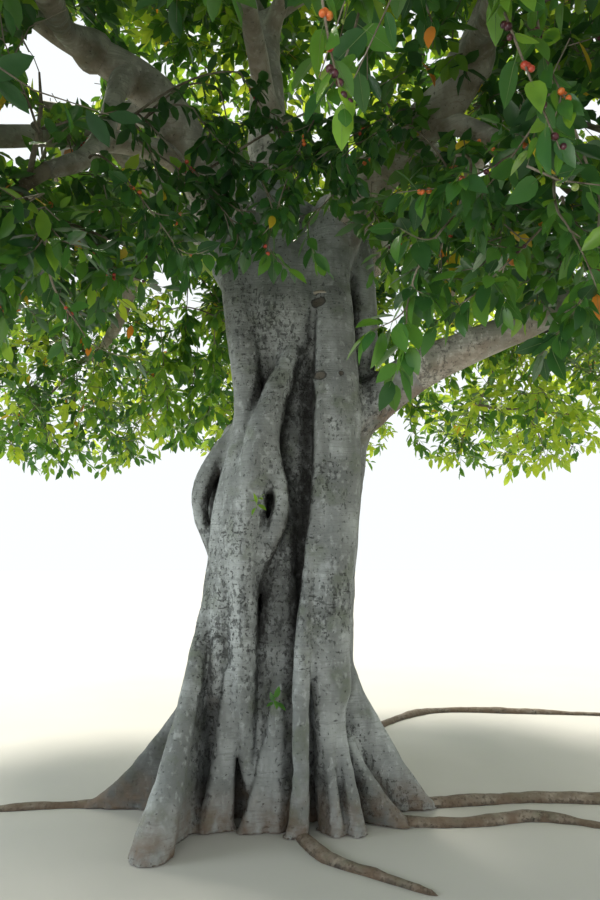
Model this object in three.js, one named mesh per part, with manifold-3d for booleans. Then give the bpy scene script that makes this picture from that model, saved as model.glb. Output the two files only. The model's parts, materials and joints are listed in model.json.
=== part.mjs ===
// A banyan tree on level ground: a fluted trunk of fused stems with a flare of roots, surface roots,
// boughs that fork from it, and a low broad crown of separate masses of foliage.
// Millimetres, +Z up. The origin is the middle of the trunk's flat cut at ground level, and -Y is the front.
// A bearing is an angle in degrees about +Z, from +X towards +Y, so the front is at 270.
import * as THREE from "three";
import { mergeVertices } from "three/addons/utils/BufferGeometryUtils.js";
import Module from "manifold-3d";

const wasm = await Module();
wasm.setup();

// Driving dimensions
const FORK_HEIGHT = 3900;
const CLEARANCE = 0.6;
const TRUNK_CELL = [104, 104, 180];
const TRUNK_ROOM = [[-1650, -1450, -330], [1450, 1500, 5000]];
const TRUNK_SINK = 150;
const TRUNK_BLEND = 75;
const LIMB_SIDES = 6;
const LIMB_STEP = 600;
const ROOT_SIDES = 6;
const TOE_SPREAD = 25;
const TOE_HEIGHT = 80;
const STEM_SMOOTHING = 3;
const ROOT_STEPS = 6;
const FAR_AWAY = 1e6;
const COLLAR_SHARE = 0.24;
const COLLAR_SWELL = 16;
const COLLAR_STEPS = 6;
const COLLAR_ROOM = [2.7, 3.5];
const SURFACE_ROOT_SINK = 0.25;
const GROUND_SPAN = 12000;
const MERGE_WITHIN = 1e-3;

// The crown: rings of masses, each a blob about its middle, over the open room beneath. A bough enters its
// mass at a point inward of the middle and below it, as shares of the blob's reach.
const RINGS = [
  {
    name: "lower",
    count: 9,
    first: 290,
    radius: 3900,
    height: 3750,
    tilt: 0.02,
    reach: [1750, 1400],
    entry: [0.4, -0.02],
  },
  {
    name: "middle",
    count: 7,
    first: 310,
    radius: 2850,
    height: 5750,
    tilt: 0.16,
    reach: [1800, 1450],
    entry: [0.48, 0.3],
  },
  {
    name: "top",
    count: 4,
    first: 300,
    radius: 1350,
    height: 7250,
    tilt: 0.1,
    reach: [1750, 1450],
    entry: [0.3, 0.5],
  },
];
const INNER = { reach: [1250, 1150], entry: [0.2, -0.25] };
const INNER_MASSES = [
  { name: "inner_left", middle: [-1500, -1450, 3450] },
  { name: "inner_right", middle: [1500, -1350, 3650] },
  { name: "inner_back", middle: [150, 1900, 4200] },
];
const FIRST_SEED = 101;
const SEED_STEP = 17;
const ROOM_HEIGHT = 3350;
const ROOM_FALL = 0.27;
const ROOM_FLOOR = 2050;
const MASS_GAP = 12;

// Twigs and the blades on them, each of which stands for a spray of leaves
const TIPS_PER_MASS = 7;
const TIP_TRIES = 260;
const TIP_DEPTH = 450;
const BALANCE = 0.45;
const STEM_NODES = [0.35, 0.65, 0.95];
const MOST_GROWTHS = 2;
const SIDE_START = 0.08;
const STEM_RADIUS = 46;
const TWIG_RADIUS = 30;
const TWIG_TIP_RADIUS = 17;
const TWIG_GAIN = 0.4;
const TWIG_SIDES = 3;
const SPRAY_LENGTH = 950;
const SPRAY_WIDTH = 620;
const SPRAY_THICKNESS = 16;
const SPRAY_FOLD = 60;
const SPRAY_EDGE_FOLD = 36;
const SPRAY_SINK = 60;
const SPRAY_WIDEST = 0.55;
const SPRAY_ROOT = 90;
const SPRAY_SEATS = [
  { share: 1, turn: 0 },
  { share: 0.88, turn: 80 },
  { share: 0.68, turn: -80 },
];
const SPRAY_SCALES = [0.8, 1.15];
const SPRAY_ROLL = 1.3;
const HEADING_TRIES = 40;
const HEADING_STRAY = 1.5;
const WAY_CHECKS = [0.1, 0.2, 0.3, 0.4, 0.5, 0.6, 0.7, 0.8, 0.9, 1];
const EDGE_CHECKS = [0, 0.2, 0.4, 0.6, 0.8, 1];
const LIMB_GUARD = 45;
const GUARD_STEP = 70;
const FOOT_CLEAR = 190;
const FIG_RADIUS = 46;
const FIG_HANG = 32;
const FIG_SEAT = 0.45;
const FIGS_BELOW = 5000;

const BARK = { color: 0x8f8b82, roughness: 0.85, metalness: 0 };
const LEAF = { color: 0x2f5f26, roughness: 0.45, metalness: 0 };

const radians = THREE.MathUtils.degToRad;
const lerp = THREE.MathUtils.lerp;

const vector = (x, y, z) => new THREE.Vector3(x, y, z);

function polar(bearing, distance, height) {
  return new THREE.Vector3(
    distance * Math.cos(radians(bearing)),
    distance * Math.sin(radians(bearing)),
    height,
  );
}

// Seeded random numbers from 0 to 1, the same on every run
function seeded(seed) {
  let state = seed >>> 0;
  return () => {
    state = (state + 0x6d2b79f5) >>> 0;
    let t = Math.imul(state ^ (state >>> 15), 1 | state);
    t = (t + Math.imul(t ^ (t >>> 7), 61 | t)) ^ t;
    return ((t ^ (t >>> 14)) >>> 0) / 4294967296;
  };
}

// Solids and meshes

function solidOf(geometry) {
  const bare = geometry.clone();
  bare.deleteAttribute("normal");
  bare.deleteAttribute("uv");
  const merged = mergeVertices(bare, MERGE_WITHIN);
  return new wasm.Manifold(
    new wasm.Mesh({
      numProp: 3,
      vertProperties: merged.attributes.position.array,
      triVerts: new Uint32Array(merged.index.array),
    }),
  );
}

function geometryOf(solid) {
  const mesh = solid.getMesh();
  const geometry = new THREE.BufferGeometry();
  geometry.setAttribute("position", new THREE.BufferAttribute(mesh.vertProperties, 3));
  geometry.setIndex(new THREE.BufferAttribute(mesh.triVerts, 1));
  geometry.computeVertexNormals();
  return geometry;
}

// The largest body of a solid, which drops a loose scrap or a sealed hollow that a cut or a join has left
function largestBody(solid) {
  const bodies = solidOf(geometryOf(solid)).decompose();
  return bodies.reduce((best, body) => (body.volume() > best.volume() ? body : best));
}

// The same surface moved outwards by the clearance, for cutting a neighbour clear of it
function grown(geometry, by) {
  const wider = mergeVertices(geometry.clone().deleteAttribute("normal"), MERGE_WITHIN);
  wider.computeVertexNormals();
  const { position, normal } = wider.attributes;
  for (let i = 0; i < position.count; i++)
    position.setXYZ(
      i,
      position.getX(i) + normal.getX(i) * by,
      position.getY(i) + normal.getY(i) * by,
      position.getZ(i) + normal.getZ(i) * by,
    );
  return wider;
}

function aboveGround(solid) {
  const room = new THREE.BoxGeometry(GROUND_SPAN, GROUND_SPAN, GROUND_SPAN).translate(0, 0, GROUND_SPAN / 2);
  return solid.intersect(solidOf(room));
}

// A tapered limb along the smooth curve through its points, from a share of its length on, with flat ends
function limbGeometry(limb, sides, rings, from = 0) {
  const curve = curveOf(limb);
  const shares = Array.from({ length: rings + 1 }, (_, i) => lerp(from, 1, i / rings));
  return tubeGeometry(
    shares.map((share) => curve.getPointAt(share)),
    shares.map((share) => curve.getTangentAt(share)),
    shares.map((share) => radiusAlong(limb.radii, share)),
    sides,
  );
}

// A tapered tube with straight stretches between its points, whose rings face along the headings
function tubeGeometry(points, headings, radii, sides) {
  const at = [];
  let side = null;
  points.forEach((point, i) => {
    side = (side ?? vector(0, 0, 1).cross(headings[i])).projectOnPlane(headings[i]).normalize();
    const other = headings[i].clone().cross(side);
    for (let k = 0; k < sides; k++) {
      const turn = (k / sides) * 2 * Math.PI;
      const across = side.clone().multiplyScalar(Math.cos(turn)).addScaledVector(other, Math.sin(turn));
      at.push(point.clone().addScaledVector(across, radii[i]));
    }
  });
  return closedTube(at, points.length - 1, sides);
}

function closedTube(at, rings, sides) {
  const faces = [];
  for (let i = 0; i < rings; i++)
    for (let k = 0; k < sides; k++) {
      const a = i * sides + k;
      const b = i * sides + ((k + 1) % sides);
      faces.push(a, b, a + sides, b, b + sides, a + sides);
    }
  for (let k = 1; k < sides - 1; k++) {
    const end = rings * sides;
    faces.push(0, k + 1, k, end, end + k, end + k + 1);
  }
  const geometry = new THREE.BufferGeometry().setFromPoints(at);
  geometry.setIndex(faces);
  return geometry;
}

function curveOf({ points }) {
  return new THREE.CatmullRomCurve3(points, false, "centripetal");
}

function radiusAlong(radii, t) {
  const place = Math.min(Math.max(t, 0), 1) * (radii.length - 1);
  const i = Math.min(Math.floor(place), radii.length - 2);
  return lerp(radii[i], radii[i + 1], place - i);
}

// Distance fields for the trunk, in the manner of rounded limbs that melt into each other

function smoothUnion(a, b, blend) {
  const near = Math.max(blend - Math.abs(a - b), 0) / blend;
  return Math.min(a, b) - (near * near * blend) / 4;
}

function limbField({ points, radii }) {
  return (x, y, z) => {
    let least = Infinity;
    for (let i = 0; i < points.length - 1; i++) {
      const [a, b] = [points[i], points[i + 1]];
      const [dx, dy, dz] = [b.x - a.x, b.y - a.y, b.z - a.z];
      const along = (x - a.x) * dx + (y - a.y) * dy + (z - a.z) * dz;
      const t = Math.min(Math.max(along / (dx * dx + dy * dy + dz * dz), 0), 1);
      const off = Math.hypot(x - a.x - t * dx, y - a.y - t * dy, z - a.z - t * dz);
      least = Math.min(least, off - lerp(radii[i], radii[i + 1], t));
    }
    return least;
  };
}

// A root's ridge with all that lies under it, so that it stands on the ground as a sheet
function ridgeField({ points, radii }) {
  return (x, y, z) => {
    let least = Infinity;
    for (let i = 0; i < points.length - 1; i++) {
      const [a, b] = [points[i], points[i + 1]];
      const [dx, dy] = [b.x - a.x, b.y - a.y];
      const along = (x - a.x) * dx + (y - a.y) * dy;
      const t = Math.min(Math.max(along / (dx * dx + dy * dy), 0), 1);
      const above = Math.max(z - lerp(a.z, b.z, t), 0);
      const off = Math.hypot(x - a.x - t * dx, y - a.y - t * dy, above);
      const toe = TOE_SPREAD * Math.exp(-Math.max(z, 0) / TOE_HEIGHT);
      least = Math.min(least, off - lerp(radii[i], radii[i + 1], t) - toe);
    }
    return least;
  };
}

// Fills a grid's outer corner wherever two inner ones touch only across a face's or a cell's diagonal, since
// a mesh there would fold back on itself along one edge
function fillPinches(values, steps) {
  const all = steps[0] + steps[1] + steps[2];
  const faces = steps.map((step, axis) => [steps[(axis + 1) % 3], steps[(axis + 2) % 3]]);
  const diagonals = [0, ...steps].map((step) => [step, all - step]);
  const inside = (at) => values[at] < 0;
  const fill = (...corners) => {
    const filled = corners.reduce((best, at) => (values[at] < values[best] ? at : best));
    values[filled] = -1;
    return true;
  };
  for (let changed = true; changed; ) {
    changed = false;
    for (let at = 0; at < values.length - all; at++) {
      for (const [u, v] of faces) {
        const [a, b, c, d] = [at, at + u, at + v, at + u + v];
        if (inside(a) && inside(d) && !inside(b) && !inside(c)) changed = fill(b, c);
        if (!inside(a) && !inside(d) && inside(b) && inside(c)) changed = fill(a, d);
      }
      for (const [p, q] of diagonals) {
        const rest = [0, ...steps, ...steps.map((step) => all - step), all].filter((s) => s !== p && s !== q);
        const ends = inside(at + p);
        if (ends !== inside(at + q) || rest.some((s) => inside(at + s) === ends)) continue;
        changed = ends ? fill(...rest.map((s) => at + s)) : fill(at + p, at + q);
      }
    }
  }
}

// A closed mesh round the places where the field is below zero, with one vertex in each cell that it crosses
function surfaceNet(field, low, high, cell) {
  const n = [0, 1, 2].map((k) => Math.ceil((high[k] - low[k]) / cell[k]) + 1);
  const index = (i, j, k) => (k * n[1] + j) * n[0] + i;
  const values = new Float64Array(n[0] * n[1] * n[2]);
  for (let k = 0; k < n[2]; k++)
    for (let j = 0; j < n[1]; j++)
      for (let i = 0; i < n[0]; i++)
        values[index(i, j, k)] = field(...[i, j, k].map((c, m) => low[m] + c * cell[m]));
  const steps = [index(1, 0, 0), index(0, 1, 0), index(0, 0, 1)];
  fillPinches(values, steps);

  const corners = [0, 1, 2, 3, 4, 5, 6, 7].map((c) => [c & 1, (c >> 1) & 1, (c >> 2) & 1]);
  const edges = [];
  corners.forEach((p, a) =>
    corners.forEach((q, b) => {
      if (a < b && Math.abs(p[0] - q[0]) + Math.abs(p[1] - q[1]) + Math.abs(p[2] - q[2]) === 1)
        edges.push([a, b]);
    }),
  );
  const vertexOf = new Map();
  const vertices = [];
  for (let k = 0; k < n[2] - 1; k++)
    for (let j = 0; j < n[1] - 1; j++)
      for (let i = 0; i < n[0] - 1; i++) {
        const at = corners.map(([a, b, c]) => values[index(i + a, j + b, k + c)]);
        const sum = [0, 0, 0];
        let crossings = 0;
        for (const [a, b] of edges) {
          if (at[a] < 0 === at[b] < 0) continue;
          const t = at[a] / (at[a] - at[b]);
          for (let m = 0; m < 3; m++) sum[m] += lerp(corners[a][m], corners[b][m], t);
          crossings++;
        }
        if (!crossings) continue;
        vertexOf.set(index(i, j, k), vertices.length);
        const [x, y, z] = [i, j, k].map((c, m) => low[m] + (c + sum[m] / crossings) * cell[m]);
        vertices.push(new THREE.Vector3(x, y, z));
      }
  const faces = [];
  for (let k = 1; k < n[2] - 1; k++)
    for (let j = 1; j < n[1] - 1; j++)
      for (let i = 1; i < n[0] - 1; i++) {
        const here = index(i, j, k);
        steps.forEach((step, axis) => {
          const inside = values[here] < 0;
          if (inside === values[here + step] < 0) return;
          const [u, v] = [steps[(axis + 1) % 3], steps[(axis + 2) % 3]];
          const quad = [here - u - v, here - v, here, here - u].map((c) => vertexOf.get(c));
          if (!inside) quad.reverse();
          faces.push(quad[0], quad[1], quad[2], quad[0], quad[2], quad[3]);
        });
      }
  const geometry = new THREE.BufferGeometry().setFromPoints(vertices);
  geometry.setIndex(faces);
  return geometry;
}

// The trunk

// A stem's bearings, distances from the axis and radii are given at even heights from low to high
function stem(low, high, { bearings, out, girth }) {
  const points = bearings.map((bearing, i) =>
    polar(bearing, out[i], lerp(low, high, i / (bearings.length - 1))),
  );
  const smooth = new THREE.CatmullRomCurve3(points, false, "centripetal");
  const steps = points.length * STEM_SMOOTHING;
  return {
    points: smooth.getPoints(steps),
    radii: Array.from({ length: steps + 1 }, (_, i) => radiusAlong(girth, i / steps)),
  };
}

const STEMS = {
  left_outer: stem(800, 3700, {
    bearings: [217, 216, 216, 229, 223, 207],
    out: [500, 480, 455, 383, 396, 394],
    girth: [125, 130, 105, 88, 115, 130],
  }),
  left_inner: stem(700, 2950, {
    bearings: [239, 240, 240, 251, 276],
    out: [489, 461, 475, 433, 301],
    girth: [120, 145, 135, 115, 80],
  }),
  front_fork: stem(1400, 2400, {
    bearings: [252, 261, 270, 266, 254],
    out: [398, 404, 415, 421, 427],
    girth: [80, 70, 65, 62, 70],
  }),
  front_right: stem(800, 4050, {
    bearings: [308, 311, 318, 320, 320, 328],
    out: [442, 425, 436, 437, 422, 377],
    girth: [165, 165, 172, 160, 130, 115],
  }),
  right_side: stem(700, 3950, {
    bearings: [343, 347, 353, 356, 358, 360],
    out: [345, 349, 393, 451, 500, 480],
    girth: [120, 125, 130, 150, 165, 140],
  }),
  left_side: stem(700, 3600, {
    bearings: [180, 180, 166, 170],
    out: [380, 360, 206, 304],
    girth: [140, 140, 120, 150],
  }),
  left_loop: stem(1500, 2450, {
    bearings: [209, 202, 200, 200, 203, 214],
    out: [456, 538, 592, 585, 511, 360],
    girth: [70, 52, 55, 80, 85, 80],
  }),
  back_left: stem(700, 3800, {
    bearings: [137, 136, 130, 140],
    out: [410, 389, 340, 390],
    girth: [140, 130, 130, 140],
  }),
  back: stem(700, 3900, {
    bearings: [95, 92, 97, 90],
    out: [420, 400, 360, 340],
    girth: [150, 135, 130, 140],
  }),
  back_right: stem(700, 3900, {
    bearings: [45, 48, 42, 40],
    out: [420, 400, 380, 400],
    girth: [145, 135, 130, 140],
  }),
};

const CORE = {
  points: [
    vector(0, 0, -TRUNK_SINK),
    vector(0, -20, 1000),
    vector(20, 0, 2600),
    vector(0, -30, 3300),
    vector(0, 0, FORK_HEIGHT),
  ],
  radii: [390, 335, 300, 385, 330],
};

// A root leaves the trunk at its knee and falls in a hollow curve to its foot
function root({ knee, kneeOut, height, foot, reach, girth, hollow }) {
  const top = polar(knee, kneeOut, height);
  const end = polar(foot, reach, 0);
  const shares = Array.from({ length: ROOT_STEPS + 1 }, (_, i) => i / ROOT_STEPS);
  return {
    points: shares.map((s) =>
      new THREE.Vector3().lerpVectors(top, end, s).setZ(height * (1 - s) ** hollow - girth[1] * s * s),
    ),
    radii: shares.map((s) => lerp(girth[0], girth[1], s)),
  };
}

const ROOTS = [
  { knee: 192, kneeOut: 370, height: 1200, foot: 181, reach: 1370, girth: [75, 58], hollow: 1.6 },
  { knee: 205, kneeOut: 480, height: 1300, foot: 235, reach: 1080, girth: [95, 100], hollow: 1.15 },
  { knee: 234, kneeOut: 500, height: 900, foot: 226, reach: 660, girth: [80, 95], hollow: 1.5 },
  { knee: 244, kneeOut: 480, height: 1050, foot: 243, reach: 520, girth: [75, 70], hollow: 1.1 },
  { knee: 275, kneeOut: 430, height: 800, foot: 243, reach: 520, girth: [70, 80], hollow: 1.4 },
  { knee: 276, kneeOut: 440, height: 900, foot: 266, reach: 470, girth: [60, 60], hollow: 1.2 },
  { knee: 284, kneeOut: 430, height: 1500, foot: 281, reach: 560, girth: [75, 66], hollow: 1.05 },
  { knee: 305, kneeOut: 470, height: 900, foot: 302, reach: 620, girth: [90, 60], hollow: 1.05 },
  { knee: 314, kneeOut: 500, height: 560, foot: 310.5, reach: 695, girth: [55, 55], hollow: 1.2 },
  { knee: 330, kneeOut: 450, height: 500, foot: 333, reach: 860, girth: [70, 70], hollow: 1.5 },
  { knee: 344, kneeOut: 420, height: 760, foot: 357, reach: 960, girth: [100, 72], hollow: 1.1 },
  { knee: 25, kneeOut: 420, height: 1000, foot: 28, reach: 1150, girth: [95, 70], hollow: 1.4 },
  { knee: 58, kneeOut: 440, height: 900, foot: 62, reach: 900, girth: [90, 70], hollow: 1.4 },
  { knee: 94, kneeOut: 440, height: 1150, foot: 97, reach: 1230, girth: [90, 65], hollow: 1.35 },
  { knee: 128, kneeOut: 430, height: 900, foot: 122, reach: 950, girth: [90, 70], hollow: 1.5 },
  { knee: 156, kneeOut: 410, height: 1000, foot: 152, reach: 1150, girth: [90, 70], hollow: 1.4 },
].map(root);

// Boughs from the trunk, as points that end in the mass they feed, and radii at even shares of the way.
// The trunk carries the first part of each as a collar, cut flat where the bough's own solid begins.
const MAIN_BOUGHS = {
  bough_left: {
    points: [
      [-150, -80, 3450],
      [-400, -190, 3950],
      [-638, -350, 4364],
      [-930, -540, 4757],
    ],
    radii: [200, 182, 168, 150, 100, 62],
    feeds: "mass_middle_6",
  },
  bough_right: {
    points: [
      [170, -110, 3480],
      [400, -290, 3930],
      [700, -620, 4221],
      [1060, -1080, 4420],
    ],
    radii: [190, 172, 152, 135, 100, 62],
    feeds: "mass_middle_1",
  },
  bough_centre: {
    points: [
      [-60, 60, 3700],
      [-110, 80, 4300],
      [-150, 130, 4900],
      [-190, 210, 5600],
    ],
    radii: [195, 165, 145, 120, 92, 62],
    feeds: "mass_top_3",
  },
  bough_back_right: {
    points: [
      [180, 120, 3450],
      [500, 290, 3820],
      [800, 400, 4080],
      [1250, 480, 4500],
    ],
    radii: [165, 142, 122, 105, 82, 60],
    feeds: "mass_middle_2",
  },
  bough_back_left: {
    points: [
      [-200, 180, 3450],
      [-450, 420, 3900],
      [-700, 640, 4280],
      [-1100, 860, 4750],
    ],
    radii: [170, 148, 130, 110, 84, 60],
    feeds: "mass_middle_5",
  },
  bough_low_right: {
    points: [
      [300, -50, 2440],
      [600, -130, 2670],
      [930, -200, 2890],
      [1257, -300, 3020],
      [1760, -560, 3190],
    ],
    radii: [165, 138, 112, 95, 82, 70, 58],
    feeds: "mass_lower_2",
  },
};

// Boughs that leave another bough: the share of that one's length where they start, their radius there
// and the mass that they feed
const OFFSHOOTS = [
  { name: "bough_left_lateral", from: "bough_left", share: 0.38, radius: 78, feeds: "mass_lower_8" },
  { name: "bough_left_side", from: "bough_left", share: 0.56, radius: 84, feeds: "mass_lower_7" },
  { name: "bough_left_drop", from: "bough_left", share: 0.66, radius: 62, feeds: "mass_inner_left" },
  { name: "bough_left_front", from: "bough_left", share: 0.78, radius: 72, feeds: "mass_lower_9" },
  { name: "bough_right_drop", from: "bough_right", share: 0.56, radius: 62, feeds: "mass_inner_right" },
  { name: "bough_right_front", from: "bough_right", share: 0.74, radius: 76, feeds: "mass_lower_1" },
  { name: "bough_low_right_back", from: "bough_low_right", share: 0.5, radius: 72, feeds: "mass_lower_3" },
  { name: "bough_back_right_low", from: "bough_back_right", share: 0.5, radius: 78, feeds: "mass_lower_4" },
  { name: "bough_back_right_top", from: "bough_back_right", share: 0.66, radius: 78, feeds: "mass_middle_3" },
  { name: "bough_back_left_high", from: "bough_back_left", share: 0.44, radius: 84, feeds: "mass_middle_4" },
  { name: "bough_back_left_low", from: "bough_back_left", share: 0.58, radius: 76, feeds: "mass_lower_6" },
  { name: "bough_back_left_back", from: "bough_back_left", share: 0.34, radius: 84, feeds: "mass_lower_5" },
  { name: "bough_centre_back", from: "bough_centre", share: 0.3, radius: 72, feeds: "mass_inner_back" },
  { name: "bough_centre_front", from: "bough_centre", share: 0.42, radius: 84, feeds: "mass_middle_7" },
  { name: "bough_centre_forward", from: "bough_centre", share: 0.62, radius: 76, feeds: "mass_top_1" },
  { name: "bough_centre_right", from: "bough_centre", share: 0.74, radius: 72, feeds: "mass_top_2" },
  { name: "bough_centre_left", from: "bough_centre", share: 0.84, radius: 70, feeds: "mass_top_4" },
];
const OFFSHOOT_TIP_RADIUS = 54;
const OFFSHOOT_LEAVES = 0.15;
const OFFSHOOT_ARRIVES = 0.4;
const OFFSHOOT_LIFT = 260;
const OFFSHOOT_STEPS = 6;
const OFFSHOOT_TAPER = 0.6;

function mainLimb({ points, radii, feeds }) {
  return { points: [...points.map((p) => vector(...p)), entryOf(massNamed(feeds))], radii };
}

function collar(limb) {
  const curve = curveOf(limb);
  const shares = Array.from({ length: COLLAR_STEPS + 1 }, (_, i) => (i / COLLAR_STEPS) * COLLAR_SHARE);
  return {
    points: shares.map((share) => curve.getPointAt(share)),
    radii: shares.map((share) => radiusAlong(limb.radii, share) + COLLAR_SWELL * (1 - share)),
  };
}

// The room that a bough's own solid takes from the end of its collar on
function beyondCollar(limb) {
  const curve = curveOf(limb);
  const radius = radiusAlong(limb.radii, COLLAR_SHARE) + COLLAR_SWELL;
  const [width, depth] = COLLAR_ROOM.map((share) => share * radius);
  const room = new THREE.BoxGeometry(width, width, depth).translate(0, 0, depth / 2);
  const heading = curve.getTangentAt(COLLAR_SHARE);
  room.applyQuaternion(new THREE.Quaternion().setFromUnitVectors(vector(0, 0, 1), heading));
  const at = curve.getPointAt(COLLAR_SHARE);
  return solidOf(room.translate(at.x, at.y, at.z));
}

function trunkGeometry(boughs) {
  const parts = [CORE, ...Object.values(STEMS), ...boughs.map(collar)].map(limbField);
  parts.push(...ROOTS.map(ridgeField));
  const field = (x, y, z) =>
    Math.max(
      parts.reduce((sum, part) => smoothUnion(sum, part(x, y, z), TRUNK_BLEND), FAR_AWAY),
      -z - TRUNK_SINK,
    );
  const net = surfaceNet(field, ...TRUNK_ROOM, TRUNK_CELL);
  const cut = boughs.reduce((sum, bough) => sum.subtract(beyondCollar(bough)), solidOf(net));
  return geometryOf(largestBody(aboveGround(cut)));
}

// Roots that run on along the ground, cut flat at ground level
const SURFACE_ROOTS = {
  surface_root_right: {
    points: [[760, -60], [1150, 20], [1650, 90], [2300, 60], [3050, 180]],
    radii: [70, 62, 66, 52, 24],
  },
  surface_root_right_front: {
    points: [[740, -400], [1130, -345], [1560, -250], [1980, -420]],
    radii: [58, 56, 62, 26],
  },
  surface_root_front: {
    points: [[106, -540], [250, -850], [480, -1040], [760, -1260]],
    radii: [48, 55, 50, 22],
  },
  surface_root_back_right: {
    points: [[420, 760], [640, 1500], [900, 2200], [1500, 2790], [2400, 2760], [3300, 2620]],
    radii: [66, 56, 54, 62, 56, 26],
  },
  surface_root_left: {
    points: [[-1200, -15], [-1560, -50], [-2020, -150]],
    radii: [54, 44, 20],
  },
};

// The crown's masses, each with its middle, its reach across and up, the bough's way in and a seed
function crownMasses() {
  const ringed = RINGS.flatMap(({ name, count, first, radius, height, tilt, reach, entry }) =>
    Array.from({ length: count }, (_, i) => {
      const middle = polar(first + (360 / count) * i, radius, height);
      middle.z += tilt * middle.y;
      return { name: `mass_${name}_${i + 1}`, middle, reach, entry };
    }),
  );
  const inner = INNER_MASSES.map(({ name, middle }) => ({
    name: `mass_${name}`,
    middle: vector(...middle),
    ...INNER,
  }));
  return [...ringed, ...inner].map((mass, i) => ({
    ...mass,
    seed: FIRST_SEED + SEED_STEP * i,
    figs: mass.middle.z < FIGS_BELOW,
  }));
}
const MASSES = crownMasses();

function massNamed(name) {
  return MASSES.find((mass) => mass.name === name);
}

// Where a bough's tip meets a mass: on the side that faces the trunk
function entryOf({ middle, reach, entry }) {
  const inward = vector(-middle.x, -middle.y, 0).normalize();
  return middle
    .clone()
    .addScaledVector(inward, reach[0] * entry[0])
    .add(vector(0, 0, -reach[1] * entry[1]));
}

// How far a point lies inside a mass's space: within its blob, nearer to it than to its neighbours, and above
// the open room under the crown
function depthInSpace(mass, point) {
  const across = Math.hypot(point.x - mass.middle.x, point.y - mass.middle.y) / mass.reach[0];
  const up = (point.z - mass.middle.z) / mass.reach[1];
  let depth = (1 - Math.hypot(across, up)) * mass.reach[1];
  for (const other of MASSES) {
    if (other === mass) continue;
    const way = other.middle.clone().sub(mass.middle);
    const half = way.length() / 2;
    depth = Math.min(depth, half - point.clone().sub(mass.middle).dot(way.normalize()) - MASS_GAP);
  }
  const ceiling = Math.max(ROOM_HEIGHT - ROOM_FALL * Math.hypot(point.x, point.y), ROOM_FLOOR);
  return Math.min(depth, point.z - ceiling);
}

function offshootLimb({ from, share, radius, feeds }, limbs) {
  const parent = curveOf(limbs[from]);
  const mass = massNamed(feeds);
  const start = parent.getPointAt(share);
  const end = entryOf(mass);
  const length = start.distanceTo(end);
  const away = end.clone().sub(start).normalize();
  const leave = parent.getTangentAt(share).add(away).multiplyScalar(length * OFFSHOOT_LEAVES);
  const arrive = vector(mass.middle.x, mass.middle.y, 0).normalize();
  const curve = new THREE.CubicBezierCurve3(
    start,
    start.clone().add(leave),
    end
      .clone()
      .addScaledVector(arrive, -length * OFFSHOOT_ARRIVES)
      .add(vector(0, 0, start.z > end.z ? OFFSHOOT_LIFT : -OFFSHOOT_LIFT)),
    end,
  );
  return {
    points: curve.getPoints(OFFSHOOT_STEPS),
    radii: [radius, lerp(radius, OFFSHOOT_TIP_RADIUS, OFFSHOOT_TAPER), OFFSHOOT_TIP_RADIUS],
  };
}

function allLimbs() {
  const limbs = {};
  for (const [name, bough] of Object.entries(MAIN_BOUGHS)) limbs[name] = mainLimb(bough);
  for (const offshoot of OFFSHOOTS) limbs[offshoot.name] = offshootLimb(offshoot, limbs);
  return limbs;
}

// The limbs as rows of balls, for keeping twigs and blades clear of them
function guards(limbs) {
  return Object.values(limbs).flatMap((limb) => {
    const curve = curveOf(limb);
    const count = Math.ceil(curve.getLength() / GUARD_STEP);
    return Array.from({ length: count + 1 }, (_, i) => ({
      at: curve.getPointAt(i / count),
      radius: radiusAlong(limb.radii, i / count) + LIMB_GUARD,
    }));
  });
}

function clearOfLimbs(point, balls, spare = 0) {
  return balls.every(({ at, radius }) => at.distanceTo(point) > radius + spare);
}

// Points for the twigs' tips: random ones in the mass's space, each next one the farthest from those taken
function spreadTips(mass, foot, balls, random) {
  const tries = [];
  while (tries.length < TIP_TRIES) {
    const offset = vector(random() - 0.5, random() - 0.5, random() - 0.5).multiplyScalar(2);
    const point = vector(
      mass.middle.x + offset.x * mass.reach[0],
      mass.middle.y + offset.y * mass.reach[0],
      mass.middle.z + offset.z * mass.reach[1],
    );
    const isInside = depthInSpace(mass, point) > TIP_DEPTH;
    if (isInside && clearOfLimbs(point, balls, TWIG_RADIUS)) tries.push(point);
  }
  const tips = [];
  const taken = [foot, mass.middle];
  while (tips.length < TIPS_PER_MASS) {
    const room = tries.map((point) => Math.min(...taken.map((other) => other.distanceTo(point))));
    const next = tries[room.indexOf(Math.max(...room))];
    tips.push(next);
    taken.push(next);
  }
  return tips;
}

function wayIsClear(mass, from, to, balls) {
  return WAY_CHECKS.every((share) => {
    const point = from.clone().lerp(to, share);
    return depthInSpace(mass, point) > TWIG_RADIUS * 2 && clearOfLimbs(point, balls, TWIG_RADIUS);
  });
}

// Twigs grow from the stem's nodes: the next tip to be reached is the one with the shortest way, which
// counts the gap to a node and a share of that node's own way from the foot
function growTwigs(mass, foot, balls, random) {
  const nodes = [];
  for (const share of STEM_NODES) {
    const at = foot.clone().lerp(mass.middle, share);
    const node = { at, way: foot.distanceTo(at), grown: [], before: nodes.at(-1) };
    nodes.at(-1)?.grown.push(node);
    nodes.push(node);
  }
  let waiting = spreadTips(mass, foot, balls, random);
  while (waiting.length) {
    let best = null;
    for (const tip of waiting)
      for (const node of nodes) {
        if (node.grown.length === MOST_GROWTHS) continue;
        const gap = node.at.distanceTo(tip);
        const cost = gap + BALANCE * node.way;
        if (best && cost >= best.cost) continue;
        if (wayIsClear(mass, node.at, tip, balls)) best = { cost, gap, tip, node };
      }
    if (!best) break;
    const node = { at: best.tip, way: best.node.way + best.gap, grown: [], before: best.node };
    best.node.grown.push(node);
    nodes.push(node);
    waiting = waiting.filter((tip) => tip !== best.tip);
  }
  return { stem: nodes[0], nodes: nodes.slice(STEM_NODES.length) };
}

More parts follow.
